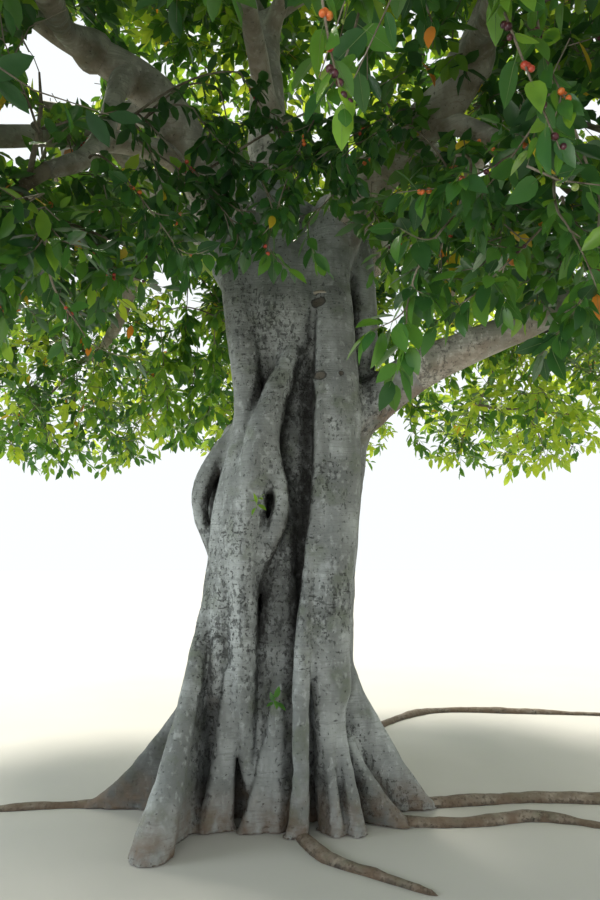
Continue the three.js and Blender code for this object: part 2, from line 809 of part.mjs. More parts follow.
// How many tips a node carries, itself among them
function tipsBeyond(node) {
  return 1 + node.grown.reduce((sum, next) => sum + tipsBeyond(next), 0);
}

// Twigs as runs: each goes on through a node's fullest growth, and the other growths start runs of their own
function runsFrom(start, node) {
  const run = [start];
  const runs = [run];
  for (let here = node; here; ) {
    const radius = Math.min(TWIG_TIP_RADIUS * tipsBeyond(here) ** TWIG_GAIN, TWIG_RADIUS);
    run.push({ at: here.at, radius });
    const [next, ...others] = here.grown.toSorted((a, b) => tipsBeyond(b) - tipsBeyond(a));
    for (const other of others) {
      const at = here.at.clone().lerp(next.at, SIDE_START);
      runs.push(...runsFrom({ at, radius: TWIG_TIP_RADIUS }, other));
    }
    here = next;
  }
  return runs;
}

// A blade: a flat diamond folded along its middle, on an x axis from its root to its point
function bladeGeometry(root) {
  const wide = SPRAY_LENGTH * SPRAY_WIDEST;
  const half = SPRAY_THICKNESS / 2;
  const corners = [
    vector(root, 0, 0),
    vector(SPRAY_LENGTH, 0, -SPRAY_FOLD),
    vector(wide, SPRAY_WIDTH / 2, -SPRAY_EDGE_FOLD),
    vector(wide, -SPRAY_WIDTH / 2, -SPRAY_EDGE_FOLD),
    vector(wide, 0, half),
    vector(wide, 0, -half),
  ];
  const geometry = new THREE.BufferGeometry().setFromPoints(corners);
  geometry.setIndex([0, 3, 4, 3, 1, 4, 1, 2, 4, 2, 0, 4, 3, 0, 5, 1, 3, 5, 2, 1, 5, 0, 2, 5]);
  return geometry;
}

// A blade's place on a twig: its root at the point, its length along the heading and its face up
function bladePlace(at, heading, roll, scale) {
  const x = heading.clone().normalize();
  const side = vector(-x.y, x.x, 0).normalize().applyAxisAngle(x, roll);
  const face = x.clone().cross(side);
  return new THREE.Matrix4().makeBasis(x, side, face).scale(vector(scale, scale, scale)).setPosition(at);
}

// How far out a blade reaches, or null where it leaves the space of its mass or comes near a limb
function bladeReach(mass, blade, balls) {
  const { position } = blade.attributes;
  const [root, point, left, right] = [0, 1, 2, 3].map((i) => vector().fromBufferAttribute(position, i));
  if ([root, point, left, right].some((corner) => depthInSpace(mass, corner) < 0)) return null;
  const middle = point.clone().lerp(root, 0.5);
  const edges = [left, right, middle].flatMap((side) => [root, point].map((end) => [side, end]));
  const isClear = ([side, end]) =>
    EDGE_CHECKS.every((share) => clearOfLimbs(side.clone().lerp(end, share), balls));
  return edges.every(isClear) ? point.distanceTo(mass.middle) : null;
}

// Adds a blade to the solid: of some headings round the wanted one, the one that reaches the farthest out
// and touches nothing beyond its own root
function withBlade(solid, mass, at, wanted, balls, random) {
  let best = null;
  for (let i = 0; i < HEADING_TRIES; i++) {
    const stray = vector(random() - 0.5, random() - 0.5, random() - 0.5).multiplyScalar(HEADING_STRAY);
    const scale = lerp(SPRAY_SCALES[0], SPRAY_SCALES[1], random());
    const place = bladePlace(at, wanted.clone().add(stray), (random() - 0.5) * SPRAY_ROLL, scale);
    const reach = bladeReach(mass, bladeGeometry(0).applyMatrix4(place), balls);
    if (reach === null || (best && reach < best.reach)) continue;
    const beyondRoot = solidOf(bladeGeometry(SPRAY_ROOT).applyMatrix4(place));
    if (solid.intersect(beyondRoot).isEmpty()) best = { reach, place };
  }
  if (!best) return solid;
  return solid.add(solidOf(bladeGeometry(0).applyMatrix4(best.place)));
}

// A cluster of figs, seated under a twig
function figGeometry({ at, before }) {
  const seat = before.at.clone().lerp(at, FIG_SEAT);
  return new THREE.OctahedronGeometry(FIG_RADIUS).translate(seat.x, seat.y, seat.z - FIG_HANG);
}

function massGeometry(mass, foot, arrival, balls) {
  const random = seeded(mass.seed);
  const { stem, nodes } = growTwigs(mass, foot, balls, random);
  let solid = null;
  for (const run of runsFrom({ at: foot, radius: STEM_RADIUS, heading: arrival }, stem)) {
    const headings = run.map(({ heading }, i) => {
      const [before, after] = [run[Math.max(i - 1, 0)].at, run[Math.min(i + 1, run.length - 1)].at];
      return heading ?? after.clone().sub(before).normalize();
    });
    const [points, radii] = [run.map(({ at }) => at), run.map(({ radius }) => radius)];
    const tube = solidOf(tubeGeometry(points, headings, radii, TWIG_SIDES));
    solid = solid ? solid.add(tube) : tube;
  }
  for (const { at, before, grown } of nodes) {
    const along = at.clone().sub(before.at).normalize();
    const outward = at.clone().sub(mass.middle).normalize();
    for (const { share, turn } of SPRAY_SEATS) {
      if (share === 1 && grown.length) continue;
      const seat = before.at.clone().lerp(at, share);
      const turned = along.clone().applyAxisAngle(vector(0, 0, 1), radians(turn));
      const heading = turned.add(outward).normalize();
      const root = share === 1 ? seat.addScaledVector(along, -SPRAY_SINK) : seat;
      solid = withBlade(solid, mass, root, heading, balls, random);
    }
  }
  if (mass.figs) solid = solid.add(solidOf(figGeometry(nodes[0])));
  return geometryOf(largestBody(solid));
}

// The tree
const tree = new THREE.Group();
const barkMaterial = () => new THREE.MeshStandardMaterial(BARK);
const leafMaterial = () => new THREE.MeshStandardMaterial(LEAF);

function addPiece(name, geometry, material) {
  const piece = new THREE.Mesh(geometry, material);
  piece.name = name;
  tree.add(piece);
}

const limbs = allLimbs();
const mainNames = Object.keys(MAIN_BOUGHS);
const trunk = trunkGeometry(mainNames.map((name) => limbs[name]));
addPiece("trunk", trunk, barkMaterial());

const limbShapes = {};
for (const [name, limb] of Object.entries(limbs)) {
  const length = curveOf(limb).getLength();
  const from = mainNames.includes(name) ? COLLAR_SHARE + CLEARANCE / length : 0;
  const rings = Math.max(3, Math.round((length * (1 - from)) / LIMB_STEP));
  let solid = solidOf(limbGeometry(limb, LIMB_SIDES, rings, from));
  const parent = OFFSHOOTS.find((offshoot) => offshoot.name === name)?.from;
  if (parent) solid = largestBody(solid.subtract(solidOf(grown(limbShapes[parent], CLEARANCE))));
  limbShapes[name] = geometryOf(solid);
  addPiece(name, limbShapes[name], barkMaterial());
}

for (const [name, { points, radii }] of Object.entries(SURFACE_ROOTS)) {
  const laid = points.map(([x, y], i) => vector(x, y, -radii[i] * SURFACE_ROOT_SINK));
  const rings = Math.round(curveOf({ points: laid }).getLength() / LIMB_STEP) + 2;
  const solid = aboveGround(solidOf(limbGeometry({ points: laid, radii }, ROOT_SIDES, rings)));
  const clear = solid.subtract(solidOf(grown(trunk, CLEARANCE)));
  addPiece(name, geometryOf(largestBody(clear)), barkMaterial());
}

const balls = guards(limbs);
const feeders = { ...MAIN_BOUGHS, ...Object.fromEntries(OFFSHOOTS.map((o) => [o.name, o])) };
for (const [name, { feeds }] of Object.entries(feeders)) {
  const curve = curveOf(limbs[name]);
  const arrival = curve.getTangentAt(1);
  const foot = curve.getPointAt(1).addScaledVector(arrival, CLEARANCE);
  const mass = massNamed(feeds);
  const near = balls.filter(({ at }) => at.distanceTo(foot) > FOOT_CLEAR);
  addPiece(mass.name, massGeometry(mass, foot, arrival, near), leafMaterial());
}

export default tree;
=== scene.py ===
"""The looks of a banyan tree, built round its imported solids.

The trunk is a distance field of fused stems and roots, meshed finely and given the bark's relief. Boughs and
surface roots are lofted along the same curves as their solids. Each mass of foliage grows by the rule of its
solid, with the same seeded twigs, carried on to finer twigs, shoots, leaves and figs within the same space.

Lengths are in millimetres, as in the part's source, and turn into metres where a mesh is made. The origin is
the middle of the trunk's cut at ground level, +Z is up and -Y is the front. A bearing is an angle in degrees
about +Z, from +X towards +Y.
"""

import json
import logging
import math
from dataclasses import dataclass, field
from enum import Enum
from itertools import product
from typing import Self

import bpy
import numpy as np
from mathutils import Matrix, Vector

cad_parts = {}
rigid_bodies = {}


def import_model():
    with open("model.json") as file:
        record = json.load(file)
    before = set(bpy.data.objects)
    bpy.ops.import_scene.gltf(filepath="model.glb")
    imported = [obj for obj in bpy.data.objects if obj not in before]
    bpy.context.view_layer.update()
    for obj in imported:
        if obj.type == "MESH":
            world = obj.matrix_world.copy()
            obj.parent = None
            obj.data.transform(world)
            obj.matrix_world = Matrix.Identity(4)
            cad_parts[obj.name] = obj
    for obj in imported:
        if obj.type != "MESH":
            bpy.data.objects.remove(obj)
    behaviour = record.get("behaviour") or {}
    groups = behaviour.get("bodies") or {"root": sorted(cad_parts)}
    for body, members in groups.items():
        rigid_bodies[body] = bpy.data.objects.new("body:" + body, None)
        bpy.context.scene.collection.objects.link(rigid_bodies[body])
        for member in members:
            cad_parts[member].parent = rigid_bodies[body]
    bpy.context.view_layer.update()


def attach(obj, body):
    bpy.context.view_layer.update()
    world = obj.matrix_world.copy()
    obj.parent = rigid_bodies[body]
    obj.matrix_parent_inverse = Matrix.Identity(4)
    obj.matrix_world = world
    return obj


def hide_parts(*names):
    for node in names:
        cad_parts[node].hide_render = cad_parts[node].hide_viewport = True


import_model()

Array = np.ndarray
Material = bpy.types.Material
Piece = bpy.types.Object
Socket = bpy.types.NodeSocket
Numbers = tuple[float, ...]
Pair = tuple[float, float]
Triple = tuple[float, float, float]

METRE = 0.001
BODY = "root"
UP = np.array([0.0, 0.0, 1.0])
VIEWPOINT = (100.0, -4900.0, 1600.0)
GOLDEN_TURN = math.radians(137.5)
WORD = 0xFFFFFFFF
AXIS_PRIMES = (73856093, 19349663, 83492791)
SEED_PRIME = 2654435761
MIXER = 0x45D9F3B
FAR = 1e3

report = logging.getLogger("banyan")


# Numbers


def unit(vectors: Array) -> Array:
    """Gives vectors of length one along the given ones."""
    return vectors / np.maximum(np.linalg.norm(vectors, axis=-1, keepdims=True), 1e-9)


def polar(bearing: float, distance: float, height: float) -> Array:
    """Gives the point at a bearing, a distance from the tree's axis and a height above the ground."""
    turn = math.radians(bearing)
    return np.array([distance * math.cos(turn), distance * math.sin(turn), height])


def eased(value: Array, low: float, high: float) -> Array:
    """Rises smoothly from 0 where the value is low to 1 where it is high, which may be below low for a fall."""
    share = np.clip((np.asarray(value, float) - low) / (high - low), 0, 1)
    return share * share * (3 - 2 * share)


def noise(points: Array, size: float | Triple, seed: int) -> Array:
    """Gives smooth noise from -1 to 1 at points.

    Args:
        points: Points of shape (n, 3).
        size: The lumps' size, the same each way or for each axis.
        seed: Picks one noise among many.

    Returns:
        Noise of shape (n,).
    """
    scaled = points / np.asarray(size, float)
    base = np.floor(scaled).astype(np.int64)
    part = scaled - base
    part = part * part * (3 - 2 * part)
    total = np.zeros(len(points))
    for corner in product((0, 1), repeat=3):
        x, y, z = ((base + corner) * AXIS_PRIMES).T
        mixed = (x ^ y ^ z ^ (seed * SEED_PRIME)) & WORD
        for _ in range(2):
            mixed = ((mixed ^ (mixed >> 16)) * MIXER) & WORD
        weight = np.prod(np.where(corner, part, 1 - part), axis=1)
        total += weight * (mixed ^ (mixed >> 16)) / WORD
    return total * 2 - 1


def sway(points: Array, size: float, seed: int) -> Array:
    """Gives smooth noise from -1 to 1 along each axis, in lumps of one size, at points in an array of any shape."""
    flat = points.reshape(-1, 3)
    return np.stack([noise(flat, size, seed + k) for k in range(3)], axis=1).reshape(points.shape)


def grid_steps(*count: int) -> Array:
    """Lists the steps of a grid with so many places along each axis, of shape (n, 3)."""
    return np.stack(np.meshgrid(*(np.arange(n) for n in count), indexing="ij"), axis=-1).reshape(-1, 3)


class Draws:
    """Seeded draws from 0 to 1: each is a hash of a running count, so they come out alike on every run."""

    STEP = 0x6D2B79F5

    def __init__(self, seed: int) -> None:
        """Starts the count at the seed."""
        self.count = seed

    def take(self, *shape: int) -> Array:
        """Takes the next draws.

        Args:
            shape: The shape of the array of draws.

        Returns:
            Draws from 0 to 1.
        """
        steps = np.arange(1, int(np.prod(shape)) + 1, dtype=np.uint64)
        counts = (np.uint64(self.count) + steps * np.uint64(self.STEP)) & np.uint64(WORD)
        self.count = int(counts[-1])
        word = np.uint64(WORD)
        mixed = ((counts ^ (counts >> np.uint64(15))) * (counts | np.uint64(1))) & word
        again = ((mixed ^ (mixed >> np.uint64(7))) * (mixed | np.uint64(61))) & word
        mixed = ((mixed + again) & word) ^ mixed
        return ((mixed ^ (mixed >> np.uint64(14))) / (WORD + 1)).reshape(shape)

    def between(self, low: float, high: float, *shape: int) -> Array:
        """Takes draws from low to high, in an array of the given shape."""
        return low + (high - low) * self.take(*shape)


class SmoothWay:
    """A smooth curve through points, read by the share of its length."""

    SAMPLES = 400
    NUDGE = 0.005

    def __init__(self, points: Array) -> None:
        """Lays the curve.

        Args:
            points: Two or more points of shape (n, 3).
        """
        points = np.asarray(points, float)
        first, last = 2 * points[0] - points[1], 2 * points[-1] - points[-2]
        self.knots = np.vstack([first, points, last])
        self.spots = self.by_points(np.linspace(0, 1, self.SAMPLES + 1))
        steps = np.linalg.norm(np.diff(self.spots, axis=0), axis=1)
        self.length = float(steps.sum())
        self.shares = np.concatenate([[0], np.cumsum(steps)]) / self.length

    def by_points(self, turns: Array) -> Array:
        """Gives points of the curve at shares of the way that count each of its stretches alike.

        Args:
            turns: Shares from 0 to 1.

        Returns:
            Points of shape (n, 3).
        """
        stretches = len(self.knots) - 3
        place = np.clip(turns, 0, 1) * stretches
        at = np.minimum(place.astype(int), stretches - 1)
        t = (place - at)[:, None]
        p0, p1, p2, p3 = (self.knots[at + k] for k in range(4))
        d0, d1, d2 = (
            np.maximum(np.linalg.norm(b - a, axis=1, keepdims=True), 1e-6) ** 0.5
            for a, b in ((p0, p1), (p1, p2), (p2, p3))
        )
        leave = ((p1 - p0) / d0 - (p2 - p0) / (d0 + d1) + (p2 - p1) / d1) * d1
        arrive = ((p2 - p1) / d1 - (p3 - p1) / (d1 + d2) + (p3 - p2) / d2) * d1
        bend = 3 * (p2 - p1) - 2 * leave - arrive
        return p1 + leave * t + bend * t**2 + (leave + arrive - 2 * (p2 - p1)) * t**3

    def at(self, shares: Array) -> Array:
        """Gives the points at shares of the length."""
        return np.stack([np.interp(shares, self.shares, axis) for axis in self.spots.T], axis=-1)

    def heading(self, shares: Array) -> Array:
        """Gives the headings at shares of the length."""
        shares = np.asarray(shares, float)
        return unit(self.at(np.minimum(shares + self.NUDGE, 1)) - self.at(np.maximum(shares - self.NUDGE, 0)))


def along_steps(values: Array, shares: Array) -> Array:
    """Reads values that stand at even shares of a way, the first at 0 and the last at 1, at some shares of it."""
    return np.interp(shares, np.linspace(0, 1, len(values)), values)


# Finishes


class Recipe:
    """A material's node tree, with short calls that add nodes to it."""

    def __init__(self, name: str) -> None:
        """Starts an empty material.

        Args:
            name: The material's name.
        """
        self.material = bpy.data.materials.new(name)
        self.material.use_nodes = True
        self.nodes = self.material.node_tree.nodes
        self.nodes.clear()
        self.place = self.add("ShaderNodeTexCoord").outputs["Object"]

    def add(self, kind: str, inputs: dict | None = None, **settings: object) -> bpy.types.Node:
        """Adds a node.

        Args:
            kind: The node's type.
            inputs: What goes into its sockets: a link from another socket, or a number or colour.
            settings: The node's own settings.

        Returns:
            The node.
        """
        node = self.nodes.new(kind)
        for key, value in settings.items():
            setattr(node, key, value)
        for key, value in (inputs or {}).items():
            if isinstance(value, Socket):
                self.material.node_tree.links.new(value, node.inputs[key])
            else:
                node.inputs[key].default_value = value
        return node

    def speck(
        self, scale: float, detail: float = 3, stretch: Triple = (1, 1, 1), rough: float = 0.55
    ) -> Socket:
        """Adds noise laid out in the tree's own space.

        Args:
            scale: Lumps in a metre.
            detail: Layers of finer lumps.
            stretch: How much closer together the lumps are along each axis.
            rough: How strong the finer lumps are.

        Returns:
            The noise's socket.
        """
        place = self.add("ShaderNodeVectorMath", {0: self.place, 1: stretch}, operation="MULTIPLY").outputs[0]
        inputs = {"Vector": place, "Scale": scale, "Detail": detail, "Roughness": rough}
        return self.add("ShaderNodeTexNoise", inputs).outputs["Fac"]

    def rise(self, value: Socket, low: float, high: float, top: float = 1) -> Socket:
        """Turns a value into a smooth rise from 0 where it is low to top where it is high."""
        inputs = {"Value": value, "From Min": low, "From Max": high, "To Min": 0, "To Max": top}
        return self.add("ShaderNodeMapRange", inputs, interpolation_type="SMOOTHSTEP").outputs["Result"]

    def sum(self, first: Socket, second: Socket | float, how: str = "ADD") -> Socket:
        """Joins two numbers by the named kind of sum."""
        return self.add("ShaderNodeMath", {0: first, 1: second}, operation=how).outputs[0]

    def tint(self, share: Socket, below: Socket | Triple, above: Socket | Triple) -> Socket:
        """Mixes two colours.

        Args:
            share: How much of the upper colour shows.
            below: The lower colour.
            above: The upper colour.

        Returns:
            The colour's socket.
        """
        colours = [c if isinstance(c, Socket) else (*c, 1) for c in (below, above)]
        return self.add("ShaderNodeMix", {"Factor": share, 6: colours[0], 7: colours[1]}, data_type="RGBA").outputs[2]

    def mark(self, name: str) -> Socket:
        """Reads a number that the mesh carries at each point."""
        return self.add("ShaderNodeAttribute", attribute_name=name).outputs["Fac"]

    def bump(self, height: Socket, depth: float, strength: float, under: Socket | None = None) -> Socket:
        """Adds fine relief to the shading.

        Args:
            height: The relief's socket, from 0 to 1.
            depth: The relief's depth in metres.
            strength: How much of it shows.
            under: Relief that this one lies on.

        Returns:
            The normal's socket.
        """
        inputs = {"Height": height, "Distance": depth, "Strength": strength}
        if under is not None:
            inputs["Normal"] = under
        return self.add("ShaderNodeBump", inputs).outputs["Normal"]

    def surface(
        self, colour: Socket, rough: Socket | float, gloss: float = 0.5, normal: Socket | None = None
    ) -> Socket:
        """Adds an opaque surface.

        Args:
            colour: Its colour.
            rough: How rough it is.
            gloss: How strongly it mirrors.
            normal: Its fine relief.

        Returns:
            The shader's socket.
        """
        inputs = {"Base Color": colour, "Roughness": rough, "Specular IOR Level": gloss}
        if normal is not None:
            inputs["Normal"] = normal
        return self.add("ShaderNodeBsdfPrincipled", inputs).outputs[0]

    def close(self, shader: Socket) -> Material:
        """Ends the material with its surface."""
        self.add("ShaderNodeOutputMaterial", {"Surface": shader})
        return self.material


@dataclass(frozen=True)
class BarkFinish:
    """Smooth grey bark: mottled, with dark marks, fine wrinkles across, painted shade in hollows, a painted brown
    shade where it faces down, and dirt at the foot.

    The mesh says where it is hollow, faces down, is weathered or in painted shade, by marks from 0 to 1.
    """

    name: str
    pale: Triple = (0.325, 0.345, 0.34)
    deep: Triple = (0.15, 0.16, 0.155)
    # The near black of the dark specks, and of the painted shade in recesses and where the shade mark lies.
    hollow: Triple = (0.016, 0.015, 0.014)
    # A brown painted shade on faces that point down.
    rust: Triple = (0.185, 0.098, 0.045)
    moss: Triple = (0.105, 0.125, 0.075)
    dirt: Triple = (0.13, 0.09, 0.06)
    specks: float = 1.0
    rust_share: float = 0.6
    dirt_height: float = 0.32
    scars: tuple[tuple[Triple, float, float], ...] = ()
    scar_deep: float = 0.25
    scar_rim: Triple = (0.035, 0.032, 0.028)
    scar_face: Triple = (0.115, 0.102, 0.082)

    def scarred(self, r: Recipe, colour: Socket) -> Socket:
        """Draws the scars of shed branches: a dark rim about a brown face.

        Args:
            r: The material's recipe.
            colour: The bark's colour.

        Returns:
            The colour with the scars.
        """
        ragged = r.sum(r.speck(34, 3), 0.5, "MULTIPLY")
        for middle, across, high in self.scars:
            place = {0: r.place, 1: tuple(value * METRE for value in middle)}
            off = r.add("ShaderNodeVectorMath", place, operation="SUBTRACT").outputs[0]
            per_size = (1 / METRE / across, 1 / self.scar_deep, 1 / METRE / high)
            off = r.add("ShaderNodeVectorMath", {0: off, 1: per_size}, operation="MULTIPLY").outputs[0]
            far = r.add("ShaderNodeVectorMath", {0: off}, operation="LENGTH").outputs["Value"]
            far = r.sum(far, ragged)
            colour = r.tint(r.rise(far, 1.42, 1.26, 0.85), colour, self.scar_rim)
            colour = r.tint(r.rise(far, 1.12, 0.94, 0.9), colour, self.scar_face)
        return colour

    def material(self) -> Material:
        """Builds the material.

        Returns:
            The material.
        """
        r = Recipe(self.name)
        hollow, under, worn = r.mark("hollow"), r.mark("under"), r.mark("weathered")
        colour = r.tint(r.rise(r.speck(2.6, 6), 0.36, 0.66), self.pale, self.deep)
        streak = r.rise(r.speck(9, 4, (1, 1, 0.16)), 0.42, 0.66, 0.65)
        colour = r.tint(streak, colour, self.deep)
        fleck = r.sum(r.speck(26, 4, (1, 1, 0.7)), r.sum(worn, 0.07, "MULTIPLY"))
        fleck = r.rise(fleck, 0.54, 0.72, 0.5)
        colour = r.tint(fleck, colour, tuple(c * 1.3 for c in self.pale))
        moss = r.rise(r.speck(5.5, 4), 0.52, 0.68, 0.45)
        colour = r.tint(moss, colour, self.moss)
        lines = r.speck(7, 5, (1, 1, 11), 0.6)
        colour = r.tint(r.rise(lines, 0.53, 0.62, 0.42), colour, self.deep)
        # Painted shade: a patchy brown on faces that point down, by the under mark.
        rust = r.sum(r.rise(under, 0.2, 0.85, self.rust_share), r.rise(r.speck(6, 4), 0.2, 0.6), "MULTIPLY")
        colour = r.tint(rust, colour, self.rust)
        worn = r.sum(r.sum(worn, r.rise(r.speck(1.7, 3), 0.54, 0.7, 0.55)), r.rise(hollow, 0.1, 0.6, 0.8))
        salt = r.sum(r.speck(36, 4, (1, 1, 0.62), 0.62), r.sum(worn, 0.12, "MULTIPLY"))
        colour = r.tint(r.rise(salt, 0.63, 0.72, 0.72), colour, tuple(c * 0.38 for c in self.deep))
        dots = r.sum(r.speck(58, 2, (1, 1, 0.8), 0.5), r.sum(worn, 0.085, "MULTIPLY"))
        dashes = r.sum(r.speck(17, 4, (1, 1, 2.6), 0.6), r.sum(worn, 0.06, "MULTIPLY"))
        dark = r.sum(r.rise(dots, 0.69, 0.74), r.rise(dashes, 0.675, 0.73), "MAXIMUM")
        colour = r.tint(r.sum(dark, 0.72 * self.specks, "MULTIPLY"), colour, self.hollow)
        # Painted shade: recesses darken towards near black by the hollow mark, how shut in each point is, in patches,
        # and more so above 1.5 m than near the ground.
        painted_recess_shade = r.sum(r.rise(hollow, 0.12, 0.85), r.rise(r.speck(11, 4), 0.1, 0.6), "MULTIPLY")
        height = r.add("ShaderNodeSeparateXYZ", {0: r.place}).outputs["Z"]
        depth = r.sum(r.rise(height, 0.6, 1.5, 0.38), 0.5)
        colour = r.tint(r.sum(painted_recess_shade, depth, "MULTIPLY"), colour, self.hollow)
        colour = self.scarred(r, r.tint(r.mark("shade"), colour, self.hollow))
        foot = r.sum(r.rise(height, self.dirt_height, 0.0), r.rise(r.speck(8, 4), 0.25, 0.7), "MULTIPLY")
        colour = r.tint(foot, colour, self.dirt)
        normal = r.bump(r.speck(22, 6), 0.014, 0.6)
        normal = r.bump(lines, 0.009, 0.75, normal)
        normal = r.bump(r.sum(1.0, r.sum(dark, r.rise(salt, 0.62, 0.74), "MAXIMUM"), "SUBTRACT"), 0.006, 0.7, normal)
        normal = r.bump(r.speck(190, 4), 0.0016, 0.6, normal)
        rough = r.sum(r.rise(r.speck(30, 3), 0.2, 0.8, 0.25), 0.66)
        return r.close(r.surface(colour, rough, 0.3, normal))


@dataclass(frozen=True)
class TwigFinish:
    """Thin bark of twigs: brown grey, with lenticels."""

    name: str
    pale: Triple = (0.27, 0.235, 0.185)
    deep: Triple = (0.10, 0.08, 0.055)

    def material(self) -> Material:
        """Builds the material.

        Returns:
            The material.
        """
        r = Recipe(self.name)
        colour = r.tint(r.rise(r.speck(6, 4), 0.35, 0.65), self.pale, self.deep)
        pores = r.rise(r.speck(130, 2), 0.6, 0.68, 0.6)
        colour = r.tint(pores, colour, self.pale)
        return r.close(r.surface(colour, 0.75, 0.3, r.bump(r.speck(160, 3), 0.002, 0.5)))


@dataclass(frozen=True)
class LeafFinish:
    """A leathery leaf: glossy over its own colour, with a brighter glow where light comes through it."""

    name: str
    colour: Triple
    glow: Triple
    through: float = 0.36
    rough: float = 0.36

    def material(self) -> Material:
        """Builds the material.

        Returns:
            The material.
        """
        r = Recipe(self.name)
        patch = r.rise(r.speck(14, 3), 0.3, 0.7, 0.4)
        colour = r.tint(patch, self.colour, tuple(c * 0.72 for c in self.colour))
        face = r.surface(colour, self.rough, normal=r.bump(r.speck(60, 2), 0.002, 0.35))
        light = r.tint(patch, self.glow, tuple(c * 0.8 for c in self.glow))
        lit = r.add("ShaderNodeBsdfTranslucent", {"Color": light}).outputs[0]
        return r.close(r.add("ShaderNodeMixShader", {0: self.through, 1: face, 2: lit}).outputs[0])


@dataclass(frozen=True)
class FigFinish:
    """The skin of a small fig, with a bloom of lighter specks."""

    name: str
    skin: Triple
    bloom: Triple

    def material(self) -> Material:
        """Builds the material.

        Returns:
            The material.
        """
        r = Recipe(self.name)
        colour = r.tint(r.rise(r.speck(55, 3), 0.42, 0.68, 0.7), self.skin, self.bloom)
        return r.close(r.surface(colour, 0.32, normal=r.bump(r.speck(240, 2), 0.0008, 0.4)))


@dataclass(frozen=True)
class FloorFinish:
    """A plain pale floor with the faintest grain."""

    name: str = "pale_floor"
    pale: Triple = (0.56, 0.545, 0.51)
    deep: Triple = (0.49, 0.475, 0.44)

    def material(self) -> Material:
        """Builds the material."""
        r = Recipe(self.name)
        return r.close(r.surface(r.tint(r.speck(0.8, 3), self.pale, self.deep), 0.9))


class LeafTone(Enum):
    """The colours that leaves come in, each with its finish."""

    DEEP = LeafFinish("leaf_deep_green", (0.018, 0.066, 0.024), (0.09, 0.26, 0.02), 0.30)
    DARK = LeafFinish("leaf_dark_green", (0.028, 0.105, 0.032), (0.15, 0.36, 0.025), 0.32)
    GREEN = LeafFinish("leaf_green", (0.046, 0.155, 0.034), (0.26, 0.50, 0.03))
    FRESH = LeafFinish("leaf_fresh_green", (0.095, 0.25, 0.04), (0.46, 0.68, 0.04), 0.42)
    LIGHT = LeafFinish("leaf_light_green", (0.17, 0.34, 0.045), (0.70, 0.84, 0.06), 0.48)
    YELLOW = LeafFinish("leaf_yellow", (0.62, 0.44, 0.035), (0.85, 0.62, 0.04), 0.4)
    ORANGE = LeafFinish("leaf_orange", (0.58, 0.20, 0.025), (0.75, 0.28, 0.03), 0.35)
    RIB = LeafFinish("leaf_rib", (0.17, 0.27, 0.09), (0.34, 0.45, 0.14), 0.25, 0.5)


class FigTone(Enum):
    """The ripeness of figs, each with its finish."""

    ORANGE = FigFinish("fig_orange", (0.62, 0.135, 0.03), (0.72, 0.27, 0.06))
    RED = FigFinish("fig_red", (0.40, 0.045, 0.025), (0.55, 0.12, 0.05))
    PURPLE = FigFinish("fig_purple", (0.045, 0.010, 0.018), (0.13, 0.03, 0.04))
    GREEN = FigFinish("fig_green", (0.20, 0.30, 0.06), (0.34, 0.40, 0.12))


# Meshes


def placed(name: str, data: bpy.types.ID) -> Piece:
    """Adds an object to the scene.

    Args:
        name: Its name.
        data: Its mesh, light or camera.

    Returns:
        The object.
    """
    made = bpy.data.objects.new(name, data)
    bpy.context.scene.collection.objects.link(made)
    return made


@dataclass
class Shape:
    """A mesh to be: points in millimetres, faces that all have three or all four corners, and marks."""

    points: Array
    faces: Array
    tones: Array | None = None
    marks: dict[str, Array] = field(default_factory=dict)
    is_smooth: bool = True

    def normals(self) -> Array:
        """Works out the smooth outward normals.

        Returns:
            A normal for each point.
        """
        corners = self.points[self.faces]
        across = np.cross(corners[:, 2] - corners[:, 0], corners[:, -1] - corners[:, 1])
        if self.faces.shape[1] == 3:
            across = np.cross(corners[:, 1] - corners[:, 0], corners[:, 2] - corners[:, 0])
        total = np.zeros_like(self.points)
        for corner, axis in product(self.faces.T, range(3)):
            total[:, axis] += np.bincount(corner, across[:, axis], len(self.points))
        return unit(total)

    def piece(
        self, name: str, finishes: list[Material], slot: str, nodes: list[str]
    ) -> Piece:
        """Makes the mesh and sets it in place of its solids.

        Args:
            name: The piece's name.
            finishes: Its materials, in the order that the tones count them.
            slot: A material slot of the record; not used.
            nodes: The solids that it stands for.

        Returns:
            The piece.
        """
        mesh = bpy.data.meshes.new(name)
        count, corners = self.faces.shape
        mesh.vertices.add(len(self.points))
        mesh.vertices.foreach_set("co", (self.points * METRE).astype(np.float32).ravel())
        mesh.loops.add(count * corners)
        mesh.loops.foreach_set("vertex_index", self.faces.astype(np.int32).ravel())
        mesh.polygons.add(count)
        mesh.polygons.foreach_set("loop_start", np.arange(0, count * corners, corners, dtype=np.int32))
        if self.tones is not None:
            mesh.polygons.foreach_set("material_index", self.tones.astype(np.int32))
        mesh.update(calc_edges=True)
        for key, values in self.marks.items():
            mesh.attributes.new(key, "FLOAT", "POINT").data.foreach_set("value", values.astype(np.float32))
        if self.is_smooth:
            mesh.shade_smooth()
        for finish in finishes:
            mesh.materials.append(finish)
        made = placed(name, mesh)
        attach(made, BODY)
        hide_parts(*nodes)
        return made


def joined(shapes: list[Shape]) -> Shape:
    """Joins shapes whose faces have alike many corners.

    Args:
        shapes: One or more shapes.

    Returns:
        One shape with all their faces.
    """
    starts = np.cumsum([0] + [len(shape.points) for shape in shapes[:-1]])
    has_tones = shapes[0].tones is not None
    return Shape(
        np.concatenate([shape.points for shape in shapes]),
        np.concatenate([shape.faces + start for shape, start in zip(shapes, starts)]),
        np.concatenate([shape.tones for shape in shapes]) if has_tones else None,
        is_smooth=shapes[0].is_smooth,
    )


